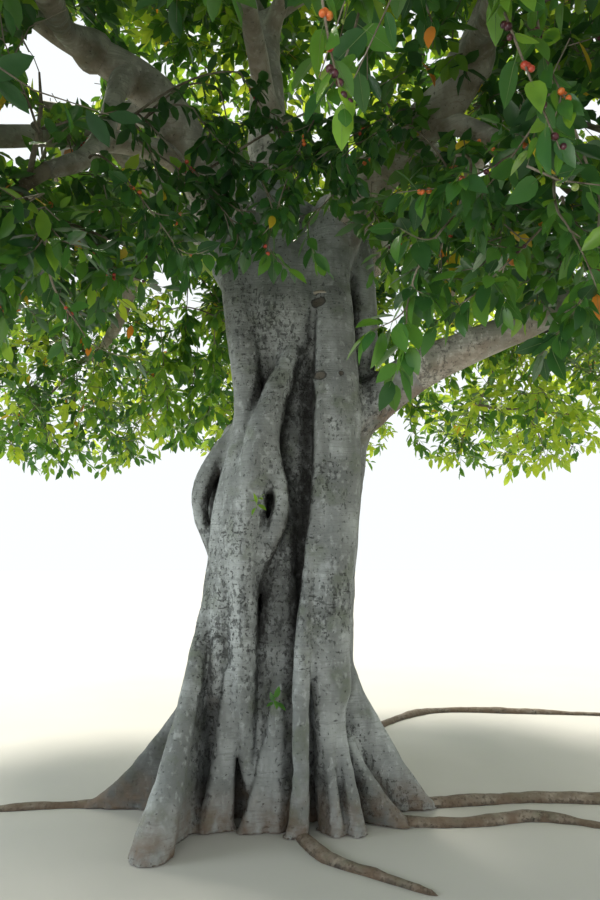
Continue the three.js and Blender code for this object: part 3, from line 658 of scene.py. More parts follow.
def tubes(ways: Array, radii: Array, sides: int) -> Shape:
    """Makes many tapered tubes at once.

    Args:
        ways: Points along each tube, of shape (tubes, rings, 3).
        radii: A radius for each of those points.
        sides: How many sides each tube has.

    Returns:
        One shape with all the tubes, open at their ends.
    """
    headings = unit(np.gradient(ways, axis=1))
    first = headings[:, :1]
    spare = np.where(np.abs(first[..., 2:]) < 0.9, UP, np.array([1.0, 0.0, 0.0]))
    side = unit(np.cross(spare, first))
    side = unit(side - headings * np.sum(side * headings, axis=-1, keepdims=True))
    other = np.cross(headings, side)
    turns = np.arange(sides) / sides * 2 * math.pi
    across = side[:, :, None] * np.cos(turns)[:, None] + other[:, :, None] * np.sin(turns)[:, None]
    points = ways[:, :, None] + across * radii[:, :, None, None]
    count, rings = ways.shape[:2]
    index = np.arange(count * rings * sides).reshape(count, rings, sides)
    after = np.roll(index, -1, axis=2)
    quads = np.stack([index[:, :-1], after[:, :-1], after[:, 1:], index[:, 1:]], axis=-1)
    return Shape(points.reshape(-1, 3), quads.reshape(-1, 4))


def surface_net(values: Array, low: Array, cell: Array) -> Shape:
    """Meshes the places where a grid of distances is below zero, with a point in each cell that they cross.

    Args:
        values: Distances of shape (x, y, z).
        low: The grid's lowest corner.
        cell: The grid's steps.

    Returns:
        A closed shape of four-cornered faces that face out.
    """
    shape = np.array(values.shape)
    cells = shape - 1
    keys, spots, quads = [], [], []
    for axis in range(3):
        u, v = (axis + 1) % 3, (axis + 2) % 3
        here = np.take(values, range(shape[axis] - 1), axis)
        there = np.take(values, range(1, shape[axis]), axis)
        edges = np.argwhere((here < 0) != (there < 0))
        a, b = here[tuple(edges.T)], there[tuple(edges.T)]
        crossing = edges.astype(float)
        crossing[:, axis] += a / (a - b)
        around = []
        for du, dv in ((-1, -1), (0, -1), (0, 0), (-1, 0)):
            owner = edges.copy()
            owner[:, u] += du
            owner[:, v] += dv
            is_real = np.all((owner >= 0) & (owner < cells), axis=1)
            flat = np.ravel_multi_index(tuple(np.clip(owner, 0, cells - 1).T), tuple(cells))
            keys.append(flat[is_real])
            spots.append(crossing[is_real])
            around.append(np.where(is_real, flat, -1))
        quad = np.stack(around, axis=1)
        quad = np.where((a < 0)[:, None], quad, quad[:, ::-1])
        quads.append(quad[np.all(quad >= 0, axis=1)])
    used, owner = np.unique(np.concatenate(keys), return_inverse=True)
    spot = np.concatenate(spots)
    hits = np.bincount(owner)
    middle = np.stack([np.bincount(owner, spot[:, k]) / hits for k in range(3)], axis=1)
    faces = np.searchsorted(used, np.concatenate(quads))
    return Shape(low + middle * cell, faces)


# The limbs' rule, as in the solids


@dataclass(frozen=True)
class Mass:
    """A mass of foliage: a blob about its middle, which a bough enters from the side of the trunk."""

    LOW = 5000

    name: str
    middle: Array
    reach: Pair
    entry: Pair
    seed: int

    @property
    def is_low(self) -> bool:
        """Tells whether it lies low in the crown, where figs hang and leaves are seen from near by."""
        return self.middle[2] < self.LOW

    @property
    def foot(self) -> Array:
        """Gives the point where its bough's tip meets it."""
        inward = unit(-self.middle * [1, 1, 0])
        return self.middle + inward * self.reach[0] * self.entry[0] - UP * self.reach[1] * self.entry[1]


@dataclass(frozen=True)
class Ring:
    """A ring of masses about the axis."""

    name: str
    count: int
    first: float
    radius: float
    height: float
    tilt: float
    reach: Pair
    entry: Pair


@dataclass
class CrownSpace:
    """The crown's masses and the space that each keeps to, over the open room beneath."""

    rings: tuple[Ring, ...] = (
        Ring("lower", 9, 290, 3900, 3750, 0.02, (1750, 1400), (0.4, -0.02)),
        Ring("middle", 7, 310, 2850, 5750, 0.16, (1800, 1450), (0.48, 0.3)),
        Ring("top", 4, 300, 1350, 7250, 0.1, (1750, 1450), (0.3, 0.5)),
    )
    inner: tuple[tuple[str, Triple], ...] = (
        ("inner_left", (-1500, -1450, 3450)),
        ("inner_right", (1500, -1350, 3650)),
        ("inner_back", (150, 1900, 4200)),
    )
    inner_reach: Pair = (1250, 1150)
    inner_entry: Pair = (0.2, -0.25)
    room_height: float = 3350
    room_fall: float = 0.27
    room_floor: float = 2050
    gap: float = 12
    seeds: tuple[int, int] = (101, 17)
    masses: dict[str, Mass] = field(init=False)

    def __post_init__(self) -> None:
        """Lists the masses."""
        found = []
        for ring in self.rings:
            for i in range(ring.count):
                middle = polar(ring.first + 360 / ring.count * i, ring.radius, ring.height)
                middle[2] += ring.tilt * middle[1]
                found.append((f"{ring.name}_{i + 1}", middle, ring.reach, ring.entry))
        for name, middle in self.inner:
            found.append((name, np.array(middle, float), self.inner_reach, self.inner_entry))
        first, step = self.seeds
        self.masses = {facts[0]: Mass(*facts, seed=first + step * i) for i, facts in enumerate(found)}

    def depth(self, mass: Mass, points: Array) -> Array:
        """Tells how far points lie inside a mass's space.

        Args:
            mass: The mass.
            points: Points of shape (n, 3).

        Returns:
            Depths, below zero outside the space.
        """
        off = points - mass.middle
        across = np.hypot(off[:, 0], off[:, 1]) / mass.reach[0]
        depth = (1 - np.hypot(across, off[:, 2] / mass.reach[1])) * mass.reach[1]
        for other in self.masses.values():
            if other is mass:
                continue
            way = other.middle - mass.middle
            half = np.linalg.norm(way) / 2
            depth = np.minimum(depth, half - off @ unit(way) - self.gap)
        ceiling = np.maximum(self.room_height - self.room_fall * np.hypot(points[:, 0], points[:, 1]), self.room_floor)
        return np.minimum(depth, points[:, 2] - ceiling)


@dataclass(frozen=True)
class Limb:
    """A bough: a smooth way that tapers to the mass it feeds."""

    name: str
    way: SmoothWay
    radii: Numbers
    feeds: str
    parent: str | None = None

    def radius(self, shares: Array) -> Array:
        """Gives the radius at shares of the length."""
        return along_steps(self.radii, shares)


@dataclass
class Limbs:
    """All boughs, from the same named sizes as their solids."""

    space: CrownSpace
    main: tuple[tuple[str, tuple[Triple, ...], Numbers, str], ...] = (
        ("left", ((-150, -80, 3450), (-400, -190, 3950), (-638, -350, 4364), (-930, -540, 4757)),
         (200, 182, 168, 150, 100, 62), "middle_6"),
        ("right", ((170, -110, 3480), (400, -290, 3930), (700, -620, 4221), (1060, -1080, 4420)),
         (190, 172, 152, 135, 100, 62), "middle_1"),
        ("centre", ((-60, 60, 3700), (-110, 80, 4300), (-150, 130, 4900), (-190, 210, 5600)),
         (195, 165, 145, 120, 92, 62), "top_3"),
        ("back_right", ((180, 120, 3450), (500, 290, 3820), (800, 400, 4080), (1250, 480, 4500)),
         (165, 142, 122, 105, 82, 60), "middle_2"),
        ("back_left", ((-200, 180, 3450), (-450, 420, 3900), (-700, 640, 4280), (-1100, 860, 4750)),
         (170, 148, 130, 110, 84, 60), "middle_5"),
        ("low_right", ((300, -50, 2440), (600, -130, 2670), (930, -200, 2890), (1257, -300, 3020), (1760, -560, 3190)),
         (165, 138, 112, 95, 82, 70, 58), "lower_2"),
    )
    offshoots: tuple[tuple[str, str, float, float, str], ...] = (
        ("left_lateral", "left", 0.38, 78, "lower_8"),
        ("left_side", "left", 0.56, 84, "lower_7"),
        ("left_drop", "left", 0.66, 62, "inner_left"),
        ("left_front", "left", 0.78, 72, "lower_9"),
        ("right_drop", "right", 0.56, 62, "inner_right"),
        ("right_front", "right", 0.74, 76, "lower_1"),
        ("low_right_back", "low_right", 0.5, 72, "lower_3"),
        ("back_right_low", "back_right", 0.5, 78, "lower_4"),
        ("back_right_top", "back_right", 0.66, 78, "middle_3"),
        ("back_left_high", "back_left", 0.44, 84, "middle_4"),
        ("back_left_low", "back_left", 0.58, 76, "lower_6"),
        ("back_left_back", "back_left", 0.34, 84, "lower_5"),
        ("centre_back", "centre", 0.3, 72, "inner_back"),
        ("centre_front", "centre", 0.42, 84, "middle_7"),
        ("centre_forward", "centre", 0.62, 76, "top_1"),
        ("centre_right", "centre", 0.74, 72, "top_2"),
        ("centre_left", "centre", 0.84, 70, "top_4"),
    )
    tip_radius: float = 54
    leaves: float = 0.15
    arrives: float = 0.4
    lift: float = 260
    steps: int = 6
    taper: float = 0.6
    guard_step: float = 70
    guard: float = 45
    all: dict[str, Limb] = field(init=False)

    def __post_init__(self) -> None:
        """Lays every bough."""
        self.all = {}
        for name, points, radii, feeds in self.main:
            way = SmoothWay([*points, self.space.masses[feeds].foot])
            self.all[name] = Limb(name, way, radii, feeds)
        for name, parent, share, radius, feeds in self.offshoots:
            way = self.offshoot_way(self.all[parent].way, share, self.space.masses[feeds])
            middle = radius + (self.tip_radius - radius) * self.taper
            self.all[name] = Limb(name, way, (radius, middle, self.tip_radius), feeds, parent)

    def offshoot_way(self, parent: SmoothWay, share: float, mass: Mass) -> SmoothWay:
        """Lays the way of a bough that leaves another one.

        Args:
            parent: The way of the bough that it leaves.
            share: Where along that one it starts.
            mass: The mass that it feeds.

        Returns:
            Its way.
        """
        start, end = parent.at([share])[0], mass.foot
        length = np.linalg.norm(end - start)
        leave = (parent.heading([share])[0] + unit(end - start)) * length * self.leaves
        arrive = unit(mass.middle * [1, 1, 0]) * length * self.arrives
        lift = UP * (self.lift if start[2] > end[2] else -self.lift)
        knots = (start, start + leave, end - arrive + lift, end)
        t = np.linspace(0, 1, self.steps + 1)[:, None]
        weights = ((1 - t) ** 3, 3 * t * (1 - t) ** 2, 3 * t**2 * (1 - t), t**3)
        return SmoothWay(sum(w * k for w, k in zip(weights, knots)))

    def guards(self) -> tuple[Array, Array]:
        """Gives the limbs as rows of balls that twigs keep clear of.

        Returns:
            The balls' middles and their radii.
        """
        spots, radii = [], []
        for limb in self.all.values():
            shares = np.linspace(0, 1, math.ceil(limb.way.length / self.guard_step) + 1)
            spots.append(limb.way.at(shares))
            radii.append(limb.radius(shares) + self.guard)
        return np.concatenate(spots), np.concatenate(radii)


# The trunk


@dataclass(frozen=True)
class FusedLimb:
    """A tapered round limb as a field of distances."""

    points: Array
    radii: Array
    blend: float = 42

    def offsets(self, off: Array, way: Array) -> tuple[Array, Array]:
        """Tells which places of a stretch points lie beside, and how they lie from there.

        Args:
            off: How the points lie from the stretch's start.
            way: The stretch.

        Returns:
            The places, as shares of the stretch, and how the points lie from them.
        """
        t = np.clip(off @ way / (way @ way), 0, 1)
        return t, off - t[:, None] * way

    def distance(self, at: Array) -> Array:
        """Tells how far points lie from the limb, below zero inside it.

        Args:
            at: Points of shape (n, 3).

        Returns:
            Distances of shape (n,).
        """
        least = np.full(len(at), np.inf)
        for a, b, wide, thin in zip(self.points, self.points[1:], self.radii, self.radii[1:]):
            t, off = self.offsets(at - a, b - a)
            least = np.minimum(least, np.sqrt(np.einsum("ij,ij->i", off, off)) - wide - (thin - wide) * t)
        return least


@dataclass(frozen=True)
class RootSheet(FusedLimb):
    """A root's ridge with all that lies under it, so that it stands on the ground as a sheet."""

    toe_spread: float = 14
    toe_height: float = 60

    def offsets(self, off: Array, way: Array) -> tuple[Array, Array]:
        """Tells which places of a stretch points lie beside, or above them for points under the stretch.

        Args:
            off: How the points lie from the stretch's start.
            way: The stretch.

        Returns:
            The places, as shares of the stretch, and how the points lie from them, level where they are under it.
        """
        flat = np.clip(off[:, :2] @ way[:2] / (way[:2] @ way[:2]), 0, 1)
        is_under = off[:, 2] < flat * way[2]
        t = np.where(is_under, flat, super().offsets(off, way)[0])
        off = off - t[:, None] * way
        off[is_under, 2] = 0
        return t, off

    def distance(self, at: Array) -> Array:
        """Tells how far points lie from the root, whose toes spread at the ground."""
        return super().distance(at) - self.toe_spread * np.exp(-np.maximum(at[:, 2], 0) / self.toe_height)


@dataclass(frozen=True)
class Scar:
    """The round scar of a shed branch: a ring of swollen bark about a shallow hollow."""

    middle: Triple
    across: float
    high: float
    deep: float = 220
    swell: float = 11
    sunk: float = 12
    dark: float = 0.12

    def far(self, points: Array) -> Array:
        """Tells how far points lie from the scar's middle, as a share of its size."""
        off = (points - np.array(self.middle, float)) / (self.across, self.deep, self.high)
        return np.linalg.norm(off, axis=1)

    def relief(self, points: Array) -> Array:
        """Tells how far the scar lifts the bark at points."""
        far = self.far(points)
        return self.swell * np.exp(-(((far - 1) / 0.25) ** 2)) - self.sunk * eased(far, 0.9, 0.5)

    def shade(self, points: Array) -> Array:
        """Tells how dark the scar is at points, from 0 to 1."""
        return self.dark * eased(self.far(points), 1.15, 0.85)


@dataclass
class Trunk:
    """The trunk: stems that have fused, with the roots' flare and the collars of the main boughs."""

    limbs: Limbs
    cell: Triple = (15, 15, 29.5)
    low: Triple = (-1650, -1450, -25)
    high: Triple = (1450, 1500, 4750)
    block: int = 16
    most_blend: float = 80
    ground_clear: float = 12
    wide_cell: Triple = (60, 60, 90)
    wide_margin: float = 400
    probes: tuple[Pair, ...] = ((70, 0.35), (150, 0.35), (300, 0.3))
    collar_share: float = 0.24
    collar_swell: float = 16
    stems: tuple[tuple[float, float, Numbers, Numbers, Numbers], ...] = (
        (800, 3700, (217, 216, 216, 229, 223, 207), (500, 480, 455, 383, 396, 394), (118, 122, 100, 86, 112, 130)),
        (500, 950, (218, 218, 217), (460, 484, 496), (50, 88, 116)),
        (700, 2950, (240, 238.5, 239.5, 251, 276), (497, 488, 478, 440, 320), (70, 92, 122, 108, 72)),
        (230, 820, (242.5, 241.5, 240), (446, 482, 500), (40, 58, 66)),
        (-40, 1500, (230, 226.2, 221.4, 215, 207), (1105, 925, 771, 636, 520), (124, 84, 60, 47, 50)),
        (1400, 2400, (241, 253, 266.5, 263.5, 253), (428, 424, 438, 442, 432), (48, 54, 54, 54, 66)),
        (800, 4050, (308, 311, 318, 320, 320, 328), (446, 440, 452, 453, 432, 377), (132, 150, 160, 158, 128, 115)),
        (140, 850, (304, 306, 308), (478, 460, 446), (80, 96, 130)),
        (700, 3950, (343, 347, 353, 356, 358, 360), (345, 349, 393, 451, 500, 480), (120, 125, 130, 150, 165, 140)),
        (700, 3600, (180, 180, 166, 170), (380, 360, 206, 304), (140, 140, 120, 150)),
        (1480, 2450, (209, 203, 200, 200, 204, 214), (446, 522, 596, 592, 508, 360), (70, 52, 50, 68, 76, 80)),
        (1500, 2450, (192, 187, 186, 186, 192), (380, 432, 446, 430, 360), (80, 96, 98, 96, 90)),
        (700, 3800, (137, 136, 130, 140), (410, 389, 340, 390), (140, 130, 130, 140)),
        (700, 3900, (95, 92, 97, 90), (420, 400, 360, 340), (150, 135, 130, 140)),
        (700, 3900, (45, 48, 42, 40), (420, 400, 380, 400), (145, 135, 130, 140)),
    )
    ridges: tuple[tuple[float, float, Numbers, Numbers, Numbers], ...] = (
        (-60, 2100, (281.5, 281, 281.5, 286, 293, 301), (556, 548, 522, 470, 446, 425), (48, 54, 56, 50, 48, 40)),
        (350, 1500, (297, 296.5, 298), (508, 498, 468), (38, 46, 40)),
        (800, 2300, (222, 225, 228, 228), (558, 552, 540, 470), (36, 44, 44, 40)),
        (250, 900, (263, 262, 264), (468, 450, 400), (38, 42, 34)),
        (100, 1800, (252, 253, 256, 264), (372, 352, 334, 300), (76, 84, 82, 50)),
        (60, 1950, (273, 272, 271, 272), (392, 362, 330, 290), (72, 80, 74, 44)),
        (0, 950, (213, 216, 219), (452, 452, 470), (84, 86, 84)),
        (1650, 3950, (299, 300, 302, 306, 310), (458, 462, 458, 436, 410), (38, 42, 42, 40, 32)),
    )
    ridge_blend: float = 46
    core: tuple[Triple, ...] = ((0, 0, -150), (0, -10, 1000), (10, 20, 2600), (0, -30, 3300), (0, 0, 3900))
    core_radii: Numbers = (380, 318, 290, 378, 330)
    roots: tuple[tuple[float, float, float, float, float, Numbers, float], ...] = (
        (192, 370, 1100, 181, 1370, (64, 56, 50), 1.7),
        (206, 500, 1420, 229, 1060, (34, 28, 26, 30, 44), 1.18),
        (233, 540, 900, 224, 660, (34, 42, 62), 1.35),
        (268, 430, 800, 243, 530, (36, 44, 52), 1.3),
        (268, 446, 700, 265, 466, (28, 34, 42), 1.1),
        (284, 500, 560, 274, 556, (30, 34, 36), 1.2),
        (300, 500, 700, 301.5, 612, (44, 40, 44), 1.1),
        (312, 500, 620, 310.5, 690, (40, 40, 46), 1.15),
        (330, 450, 430, 333, 860, (60, 56, 60), 1.6),
        (346, 400, 800, 357, 960, (92, 72, 60), 1.25),
        (25, 420, 820, 28, 1010, (84, 60), 1.7),
        (58, 440, 900, 62, 900, (78, 60), 1.5),
        (94, 440, 1150, 97, 1230, (80, 56), 1.35),
        (128, 430, 900, 122, 950, (78, 60), 1.5),
        (156, 410, 850, 152, 1150, (80, 60), 1.7),
    )
    root_steps: int = 18
    root_blend: float = 0.6
    scars: tuple[Scar, ...] = (
        Scar((224, -400, 3305), 45, 34),
        Scar((230, -420, 2786), 43, 30),
        Scar((368, -440, 2796), 17, 15),
    )
    weathered: tuple[tuple[float, float, float, float], ...] = (
        (-300, -480, 1250, 470),
        (-330, -500, 1750, 260),
        (0, -380, 2650, 210),
        (-20, -380, 2150, 230),
        (-40, -380, 1600, 260),
        (330, -480, 2450, 120),
        (240, -480, 2140, 150),
        (280, -520, 1300, 330),
        (560, -200, 2600, 240),
        (-100, -330, 3200, 250),
        (-240, -330, 3080, 130),
        (100, 500, 1900, 600),
    )
    shaded: tuple[tuple[float, float, float, float, float], ...] = (
        (-10, -420, 1750, 170, 0.34),
        (-40, -420, 1450, 190, 0.50),
        (-50, -430, 1180, 170, 0.46),
        (-50, -430, 940, 140, 0.30),
        (-1000, -140, 200, 520, 0.54),
        (-720, -190, 550, 330, 0.44),
    )
    stub: tuple[Triple, Triple] = ((196, -395, 3366), (274, -445, 3352))

    def stem(
        self, low: float, high: float, bearings: Numbers, out: Numbers, girth: Numbers, blend: float = 42
    ) -> FusedLimb:
        """Lays a stem from bearings, distances from the axis and radii at even heights.

        Args:
            low: The height of its foot.
            high: The height of its top.
            bearings: Its bearings.
            out: Its distances from the axis.
            girth: Its radii.
            blend: How widely it melts into the others.

        Returns:
            The stem.
        """
        heights = np.linspace(low, high, len(bearings))
        way = SmoothWay([polar(*facts) for facts in zip(bearings, out, heights)])
        turns = np.linspace(0, 1, len(bearings) * 3 + 1)
        return FusedLimb(way.by_points(turns), along_steps(girth, turns), blend)

    def root(
        self, knee: float, out: float, height: float, foot: float, reach: float, girth: Numbers, hollow: float
    ) -> RootSheet:
        """Lays a root that falls from its knee on the trunk in a hollow curve.

        Args:
            knee: The knee's bearing.
            out: The knee's distance from the axis.
            height: The knee's height.
            foot: The foot's bearing.
            reach: The foot's distance from the axis.
            girth: The radii from the knee to the foot.
            hollow: How hollow the curve is.

        Returns:
            The root.
        """
        s = np.linspace(0, 1, self.root_steps + 1)
        start, end = polar(knee, out, 0), polar(foot, reach, 0)
        points = start + (end - start) * s[:, None]
        points[:, 2] = height * (1 - s) ** hollow - girth[-1] * s * s
        return RootSheet(points, along_steps(girth, s), self.root_blend * max(girth))

    def collar(self, limb: Limb) -> FusedLimb:
        """Lays the first part of a main bough, which slips under the bough's own bark at its end.

        Args:
            limb: The bough.

        Returns:
            The collar.
        """
        shares = np.linspace(0, self.collar_share * 1.08, 8)
        radii = limb.radius(shares) + self.collar_swell * (1 - shares)
        radii -= 26 * eased(shares, self.collar_share * 0.86, shares[-1])
        return FusedLimb(limb.way.at(shares), radii, self.most_blend)

    def parts(self) -> list[FusedLimb]:
        """Lays everything that the trunk is fused from.

        Returns:
            The limbs.
        """
        collars = [self.collar(limb) for limb in self.limbs.all.values() if limb.parent is None]
        core = FusedLimb(np.array(self.core, float), np.array(self.core_radii, float))
        ridges = [self.stem(*facts, self.ridge_blend) for facts in self.ridges]
        return [core, *(self.stem(*s) for s in self.stems), *collars, *ridges, *(self.root(*r) for r in self.roots)]

    def fused(self, parts: list[FusedLimb], at: Array) -> Array:
        """Melts the distances from several limbs into one.

        Args:
            parts: The limbs.
            at: Points of shape (n, 3).

        Returns:
            Distances from the fused whole.
        """
        total = np.full(len(at), FAR)
        for part in parts:
            other = part.distance(at)
            near = np.maximum(part.blend - np.abs(total - other), 0) / part.blend
            total = np.minimum(total, other) - near * near * part.blend / 4
        return total

    def grid(self, parts: list[FusedLimb]) -> tuple[Array, Array]:
        """Works out distances from the trunk on a grid, in full only in blocks that its surface may cross.

        Args:
            parts: Everything that the trunk is fused from.

        Returns:
            The distances and the grid's lowest corner.
        """
        low, cell = np.array(self.low, float), np.array(self.cell)
        blocks = np.ceil((np.array(self.high) - low) / cell / self.block).astype(int)
        inside = grid_steps(*[self.block] * 3) * cell
        corners = grid_steps(*blocks)
        reach = np.linalg.norm(cell) * self.block / 2 * 1.3
        middles = low + (corners + 0.5) * self.block * cell
        off = np.stack([part.distance(middles) for part in parts])
        whole = self.fused(parts, middles)
        values = np.full(tuple(blocks * self.block), FAR, np.float32)
        for n, corner in enumerate(corners):
            room = tuple(slice(c * self.block, (c + 1) * self.block) for c in corner)
            if abs(whole[n]) > reach + self.most_blend:
                values[room] = np.sign(whole[n]) * FAR
                continue
            at = low + corner * self.block * cell + inside
            near = [part for part, far in zip(parts, off[:, n]) if far < reach + self.most_blend * 2]
            values[room] = np.maximum(self.fused(near, at), 4 - at[:, 2]).reshape((self.block,) * 3)
        return values, low

    def hollows(self, parts: list[FusedLimb], points: Array, normals: Array) -> Array:
        """Tells how shut in points are, by how near the trunk is again a little way out from each.

        Args:
            parts: Everything that the trunk is fused from.
            points: Points of shape (n, 3).
            normals: The normals there.

        Returns:
            Numbers from 0 in the open to 1 deep in a hollow.
        """
        low, cell = np.array(self.low, float) - self.wide_margin, np.array(self.wide_cell)
        count = np.ceil((np.array(self.high) + self.wide_margin - low) / cell).astype(int) + 1
        room = self.fused(parts, low + grid_steps(*count) * cell).reshape(count)
        total = np.zeros(len(points))
        for far, weight in self.probes:
            place = (points + normals * far - low) / cell
            base = np.clip(np.floor(place).astype(int), 0, count - 2)
            part = place - base
            seen = np.zeros(len(points))
            for corner in product((0, 1), repeat=3):
                seen += np.prod(np.where(corner, part, 1 - part), axis=1) * room[tuple((base + corner).T)]
            total += weight * np.clip(1 - seen / far, 0, 1)
        return total

    def relief(self, points: Array, hollow: Array, worn: Array) -> Array:
        """Tells how far the bark's relief lifts points.

        Args:
            points: Points of shape (n, 3).
            hollow: How shut in each is, from 0 to 1.
            worn: How weathered each is, from 0 to 1.

        Returns:
            Lifts in millimetres.
        """
        lift = bark_relief(points) + 5 * noise(points, (95, 95, 900), 30)
        lift -= 9 * eased(noise(points, (46, 46, 60), 31), 0.25, 0.7) * (0.2 + hollow)
        lift += (11 * noise(points, (110, 110, 170), 33) + 7 * noise(points, (60, 60, 420), 34)) * worn
        for scar in self.scars:
            lift += scar.relief(points)
        return lift

    def broken_stub(self) -> Shape:
        """Makes the stub of a twig that broke off beside the upper scar.

        Returns:
            Its bark.
        """
        shares = np.linspace(0, 1, 5)[:, None]
        start, end = (np.array(place, float) for place in self.stub)
        way = start + (end - start) * shares + UP * 9 * np.sin(np.pi * shares)
        return tubes(way[None], np.array([[13, 11, 10, 10, 4]], float), 8)

    def build(self) -> list[Piece]:
        """Builds the trunk's bark and the stub of a shed twig.

        Returns:
            The pieces.
        """
        parts = self.parts()
        shape = surface_net(*self.grid(parts), np.array(self.cell))
        normals = shape.normals()
        hollow = self.hollows(parts, shape.points, normals)
        worn, shade = np.zeros(len(normals)), np.zeros(len(normals))
        for x, y, z, size in self.weathered:
            worn = np.maximum(worn, np.exp(-((np.linalg.norm(shape.points - (x, y, z), axis=1) / size) ** 2)))
        for x, y, z, size, most in self.shaded:
            far = np.linalg.norm(shape.points - (x, y, z), axis=1)
            shade = np.maximum(shade, most * eased(far, size * 1.3, size * 0.5))
        is_bark = shape.points[:, 2] > self.ground_clear
        lift = np.where(is_bark, self.relief(shape.points, hollow, worn), 0)
        # The hollow mark drives the painted shade in recesses, and the scars' own dark is added to it; the under mark,
        # how much a point faces down, drives the painted brown shade of undersides.
        for scar in self.scars:
            hollow = np.maximum(hollow, scar.shade(shape.points))
        under = np.clip(-normals[:, 2], 0, 1)
        shape.marks = {"hollow": hollow, "under": under, "weathered": worn, "shade": shade}
        shape.points += normals * lift[:, None]
        shape.points[:, 2] = np.maximum(shape.points[:, 2], 0)
        scars = tuple((scar.middle, scar.across, scar.high) for scar in self.scars)
        bark = BarkFinish("trunk_bark", scars=scars).material()
        wood = TwigFinish("broken_wood", (0.52, 0.50, 0.44), (0.30, 0.27, 0.22)).material()
        return [
            shape.piece("trunk_bark", [bark], "trunk_bark", ["trunk"]),
            self.broken_stub().piece("trunk_broken_stub", [wood], "trunk_bark", ["trunk"]),
        ]


def bark_relief(points: Array) -> Array:
    """Gives the relief that all bark has: lumps, folds across the limb and a fine unevenness.

    Args:
        points: Points of shape (n, 3).

    Returns:
        Lifts in millimetres.
    """
    lift = 9 * noise(points, (240, 240, 420), 11) + 4 * noise(points, 95, 12)
    lift += 2.4 * noise(points, (260, 260, 52), 13) + 1.2 * noise(points, (150, 150, 27), 14)
    return lift + 1.1 * noise(points, 34, 15)


# Boughs and surface roots


@dataclass
class Boughs:
    """The boughs' bark, each from inside its parent to where its mass begins."""

    limbs: Limbs
    sides: int = 22
    ring_step: float = 58
    tip_radius: float = 47
    collar_share: float = 0.24
    flare: float = 0.42

    def loft(self, limb: Limb) -> Shape:
        """Lofts a bough with its relief.

        Args:
            limb: The bough.

        Returns:
            Its bark.
        """
        is_main = limb.parent is None
        first = self.collar_share * 0.8 if is_main else 0.0
        rings = int(limb.way.length * (1 - first) / self.ring_step)
        shares = np.linspace(first, 1, rings + 1)
        radii = limb.radius(shares)
        if is_main:
            radii += 15 * eased(shares, 0.5, self.collar_share) - 30 * eased(shares, self.collar_share, first)
        else:
            wide = self.limbs.all[limb.parent].radius(0.5)
            radii += self.flare * wide * np.exp(-((shares * limb.way.length / (1.15 * wide)) ** 2))
        radii += (self.tip_radius - radii) * eased(shares, 0.86, 1)
        sides = self.sides if is_main else self.sides - 6
        shape = tubes(limb.way.at(shares)[None], radii[None], sides)
        normals = shape.normals()
        fade = np.repeat(eased(shares, 1, 0.9), sides)
        shape.points += normals * (bark_relief(shape.points) * fade * 0.8)[:, None]
        near_fork = np.repeat(eased(shares, 0.45, 0.2) if is_main else np.zeros(len(shares)), sides)
        # How much a point faces down, for the painted brown shade of undersides; level faces get a little of it too.
        under = np.clip(0.25 - 1.1 * normals[:, 2], 0, 1)
        shape.marks = {"hollow": np.zeros(len(normals)), "under": under, "weathered": near_fork}
        return shape

    def build(self) -> list[Piece]:
        """Builds every bough.

        Returns:
            The pieces.
        """
        # Painted light: the boughs' bark is paler than the trunk's, standing in for the sky light that the crown keeps
        # off them.
        pale, deep = (0.56, 0.545, 0.49), (0.27, 0.26, 0.225)
        bark = BarkFinish("bough_bark", pale, deep, specks=0.7, rust_share=0.42, dirt_height=0.001)
        material = bark.material()
        return [
            self.loft(limb).piece(f"bough_{limb.name}_bark", [material], "bough_bark", [f"bough_{limb.name}"])
            for limb in self.limbs.all.values()
        ]


@dataclass
class SurfaceRoots:
    """Roots that run on along the ground."""

    sink: float = 0.25
    sides: int = 18
    ring_step: float = 34
    ways: tuple[tuple[str, tuple[Pair, ...], Numbers], ...] = (
        ("surface_root_right", ((760, -60), (1150, 20), (1650, 90), (2300, 60), (3050, 180)), (70, 62, 66, 52, 24)),
        ("surface_root_right_front", ((600, -330), (1130, -345), (1560, -250), (1980, -420)), (58, 56, 62, 26)),
        ("surface_root_front", ((106, -540), (250, -850), (480, -1040), (760, -1260)), (48, 55, 50, 22)),
        ("surface_root_back_right", ((420, 760), (640, 1500), (900, 2200), (1500, 2790), (2400, 2760), (3300, 2620)),
         (66, 56, 54, 62, 56, 26)),
        ("surface_root_left", ((-1200, -15), (-1560, -50), (-2020, -150)), (54, 44, 20)),
    )

    def loft(self, plan: tuple[Pair, ...], radii: Numbers) -> Shape:
        """Lofts a root, flat where it lies on the ground.

        Args:
            plan: Points of its way on the ground.
            radii: Its radius at each.

        Returns:
            Its bark.
        """
        way = SmoothWay([(x, y, -radius * self.sink) for (x, y), radius in zip(plan, radii)])
        shares = np.linspace(0, 1, int(way.length / self.ring_step))
        girth = along_steps(radii, shares) * (1 - 0.7 * eased(shares, 0.97, 1))
        girth *= 1 + 0.10 * noise(way.at(shares), 210, 21)
        shape = tubes(way.at(shares)[None], girth[None], self.sides)
        normals = shape.normals()
        lift = bark_relief(shape.points) * 0.6 + 5 * noise(shape.points, (60, 60, 200), 22)
        shape.points += normals * lift[:, None]
        none = np.zeros(len(normals))
        # The hollow mark rises where a root meets the ground, for painted shade along that line.
        shape.marks = {"hollow": eased(shape.points[:, 2], 26, 0), "under": none, "weathered": none + 0.5}
        shape.points[:, 2] = np.maximum(shape.points[:, 2], 0)
        return shape

    def build(self) -> list[Piece]:
        """Builds every root.

        Returns:
            The pieces.
        """
        bark = BarkFinish("root_bark", pale=(0.30, 0.26, 0.21), deep=(0.17, 0.14, 0.11), dirt_height=0.16)
        material = bark.material()
        return [
            self.loft(plan, radii).piece(f"{name}_bark", [material], "root_bark", [name])
            for name, plan, radii in self.ways
        ]


# Foliage


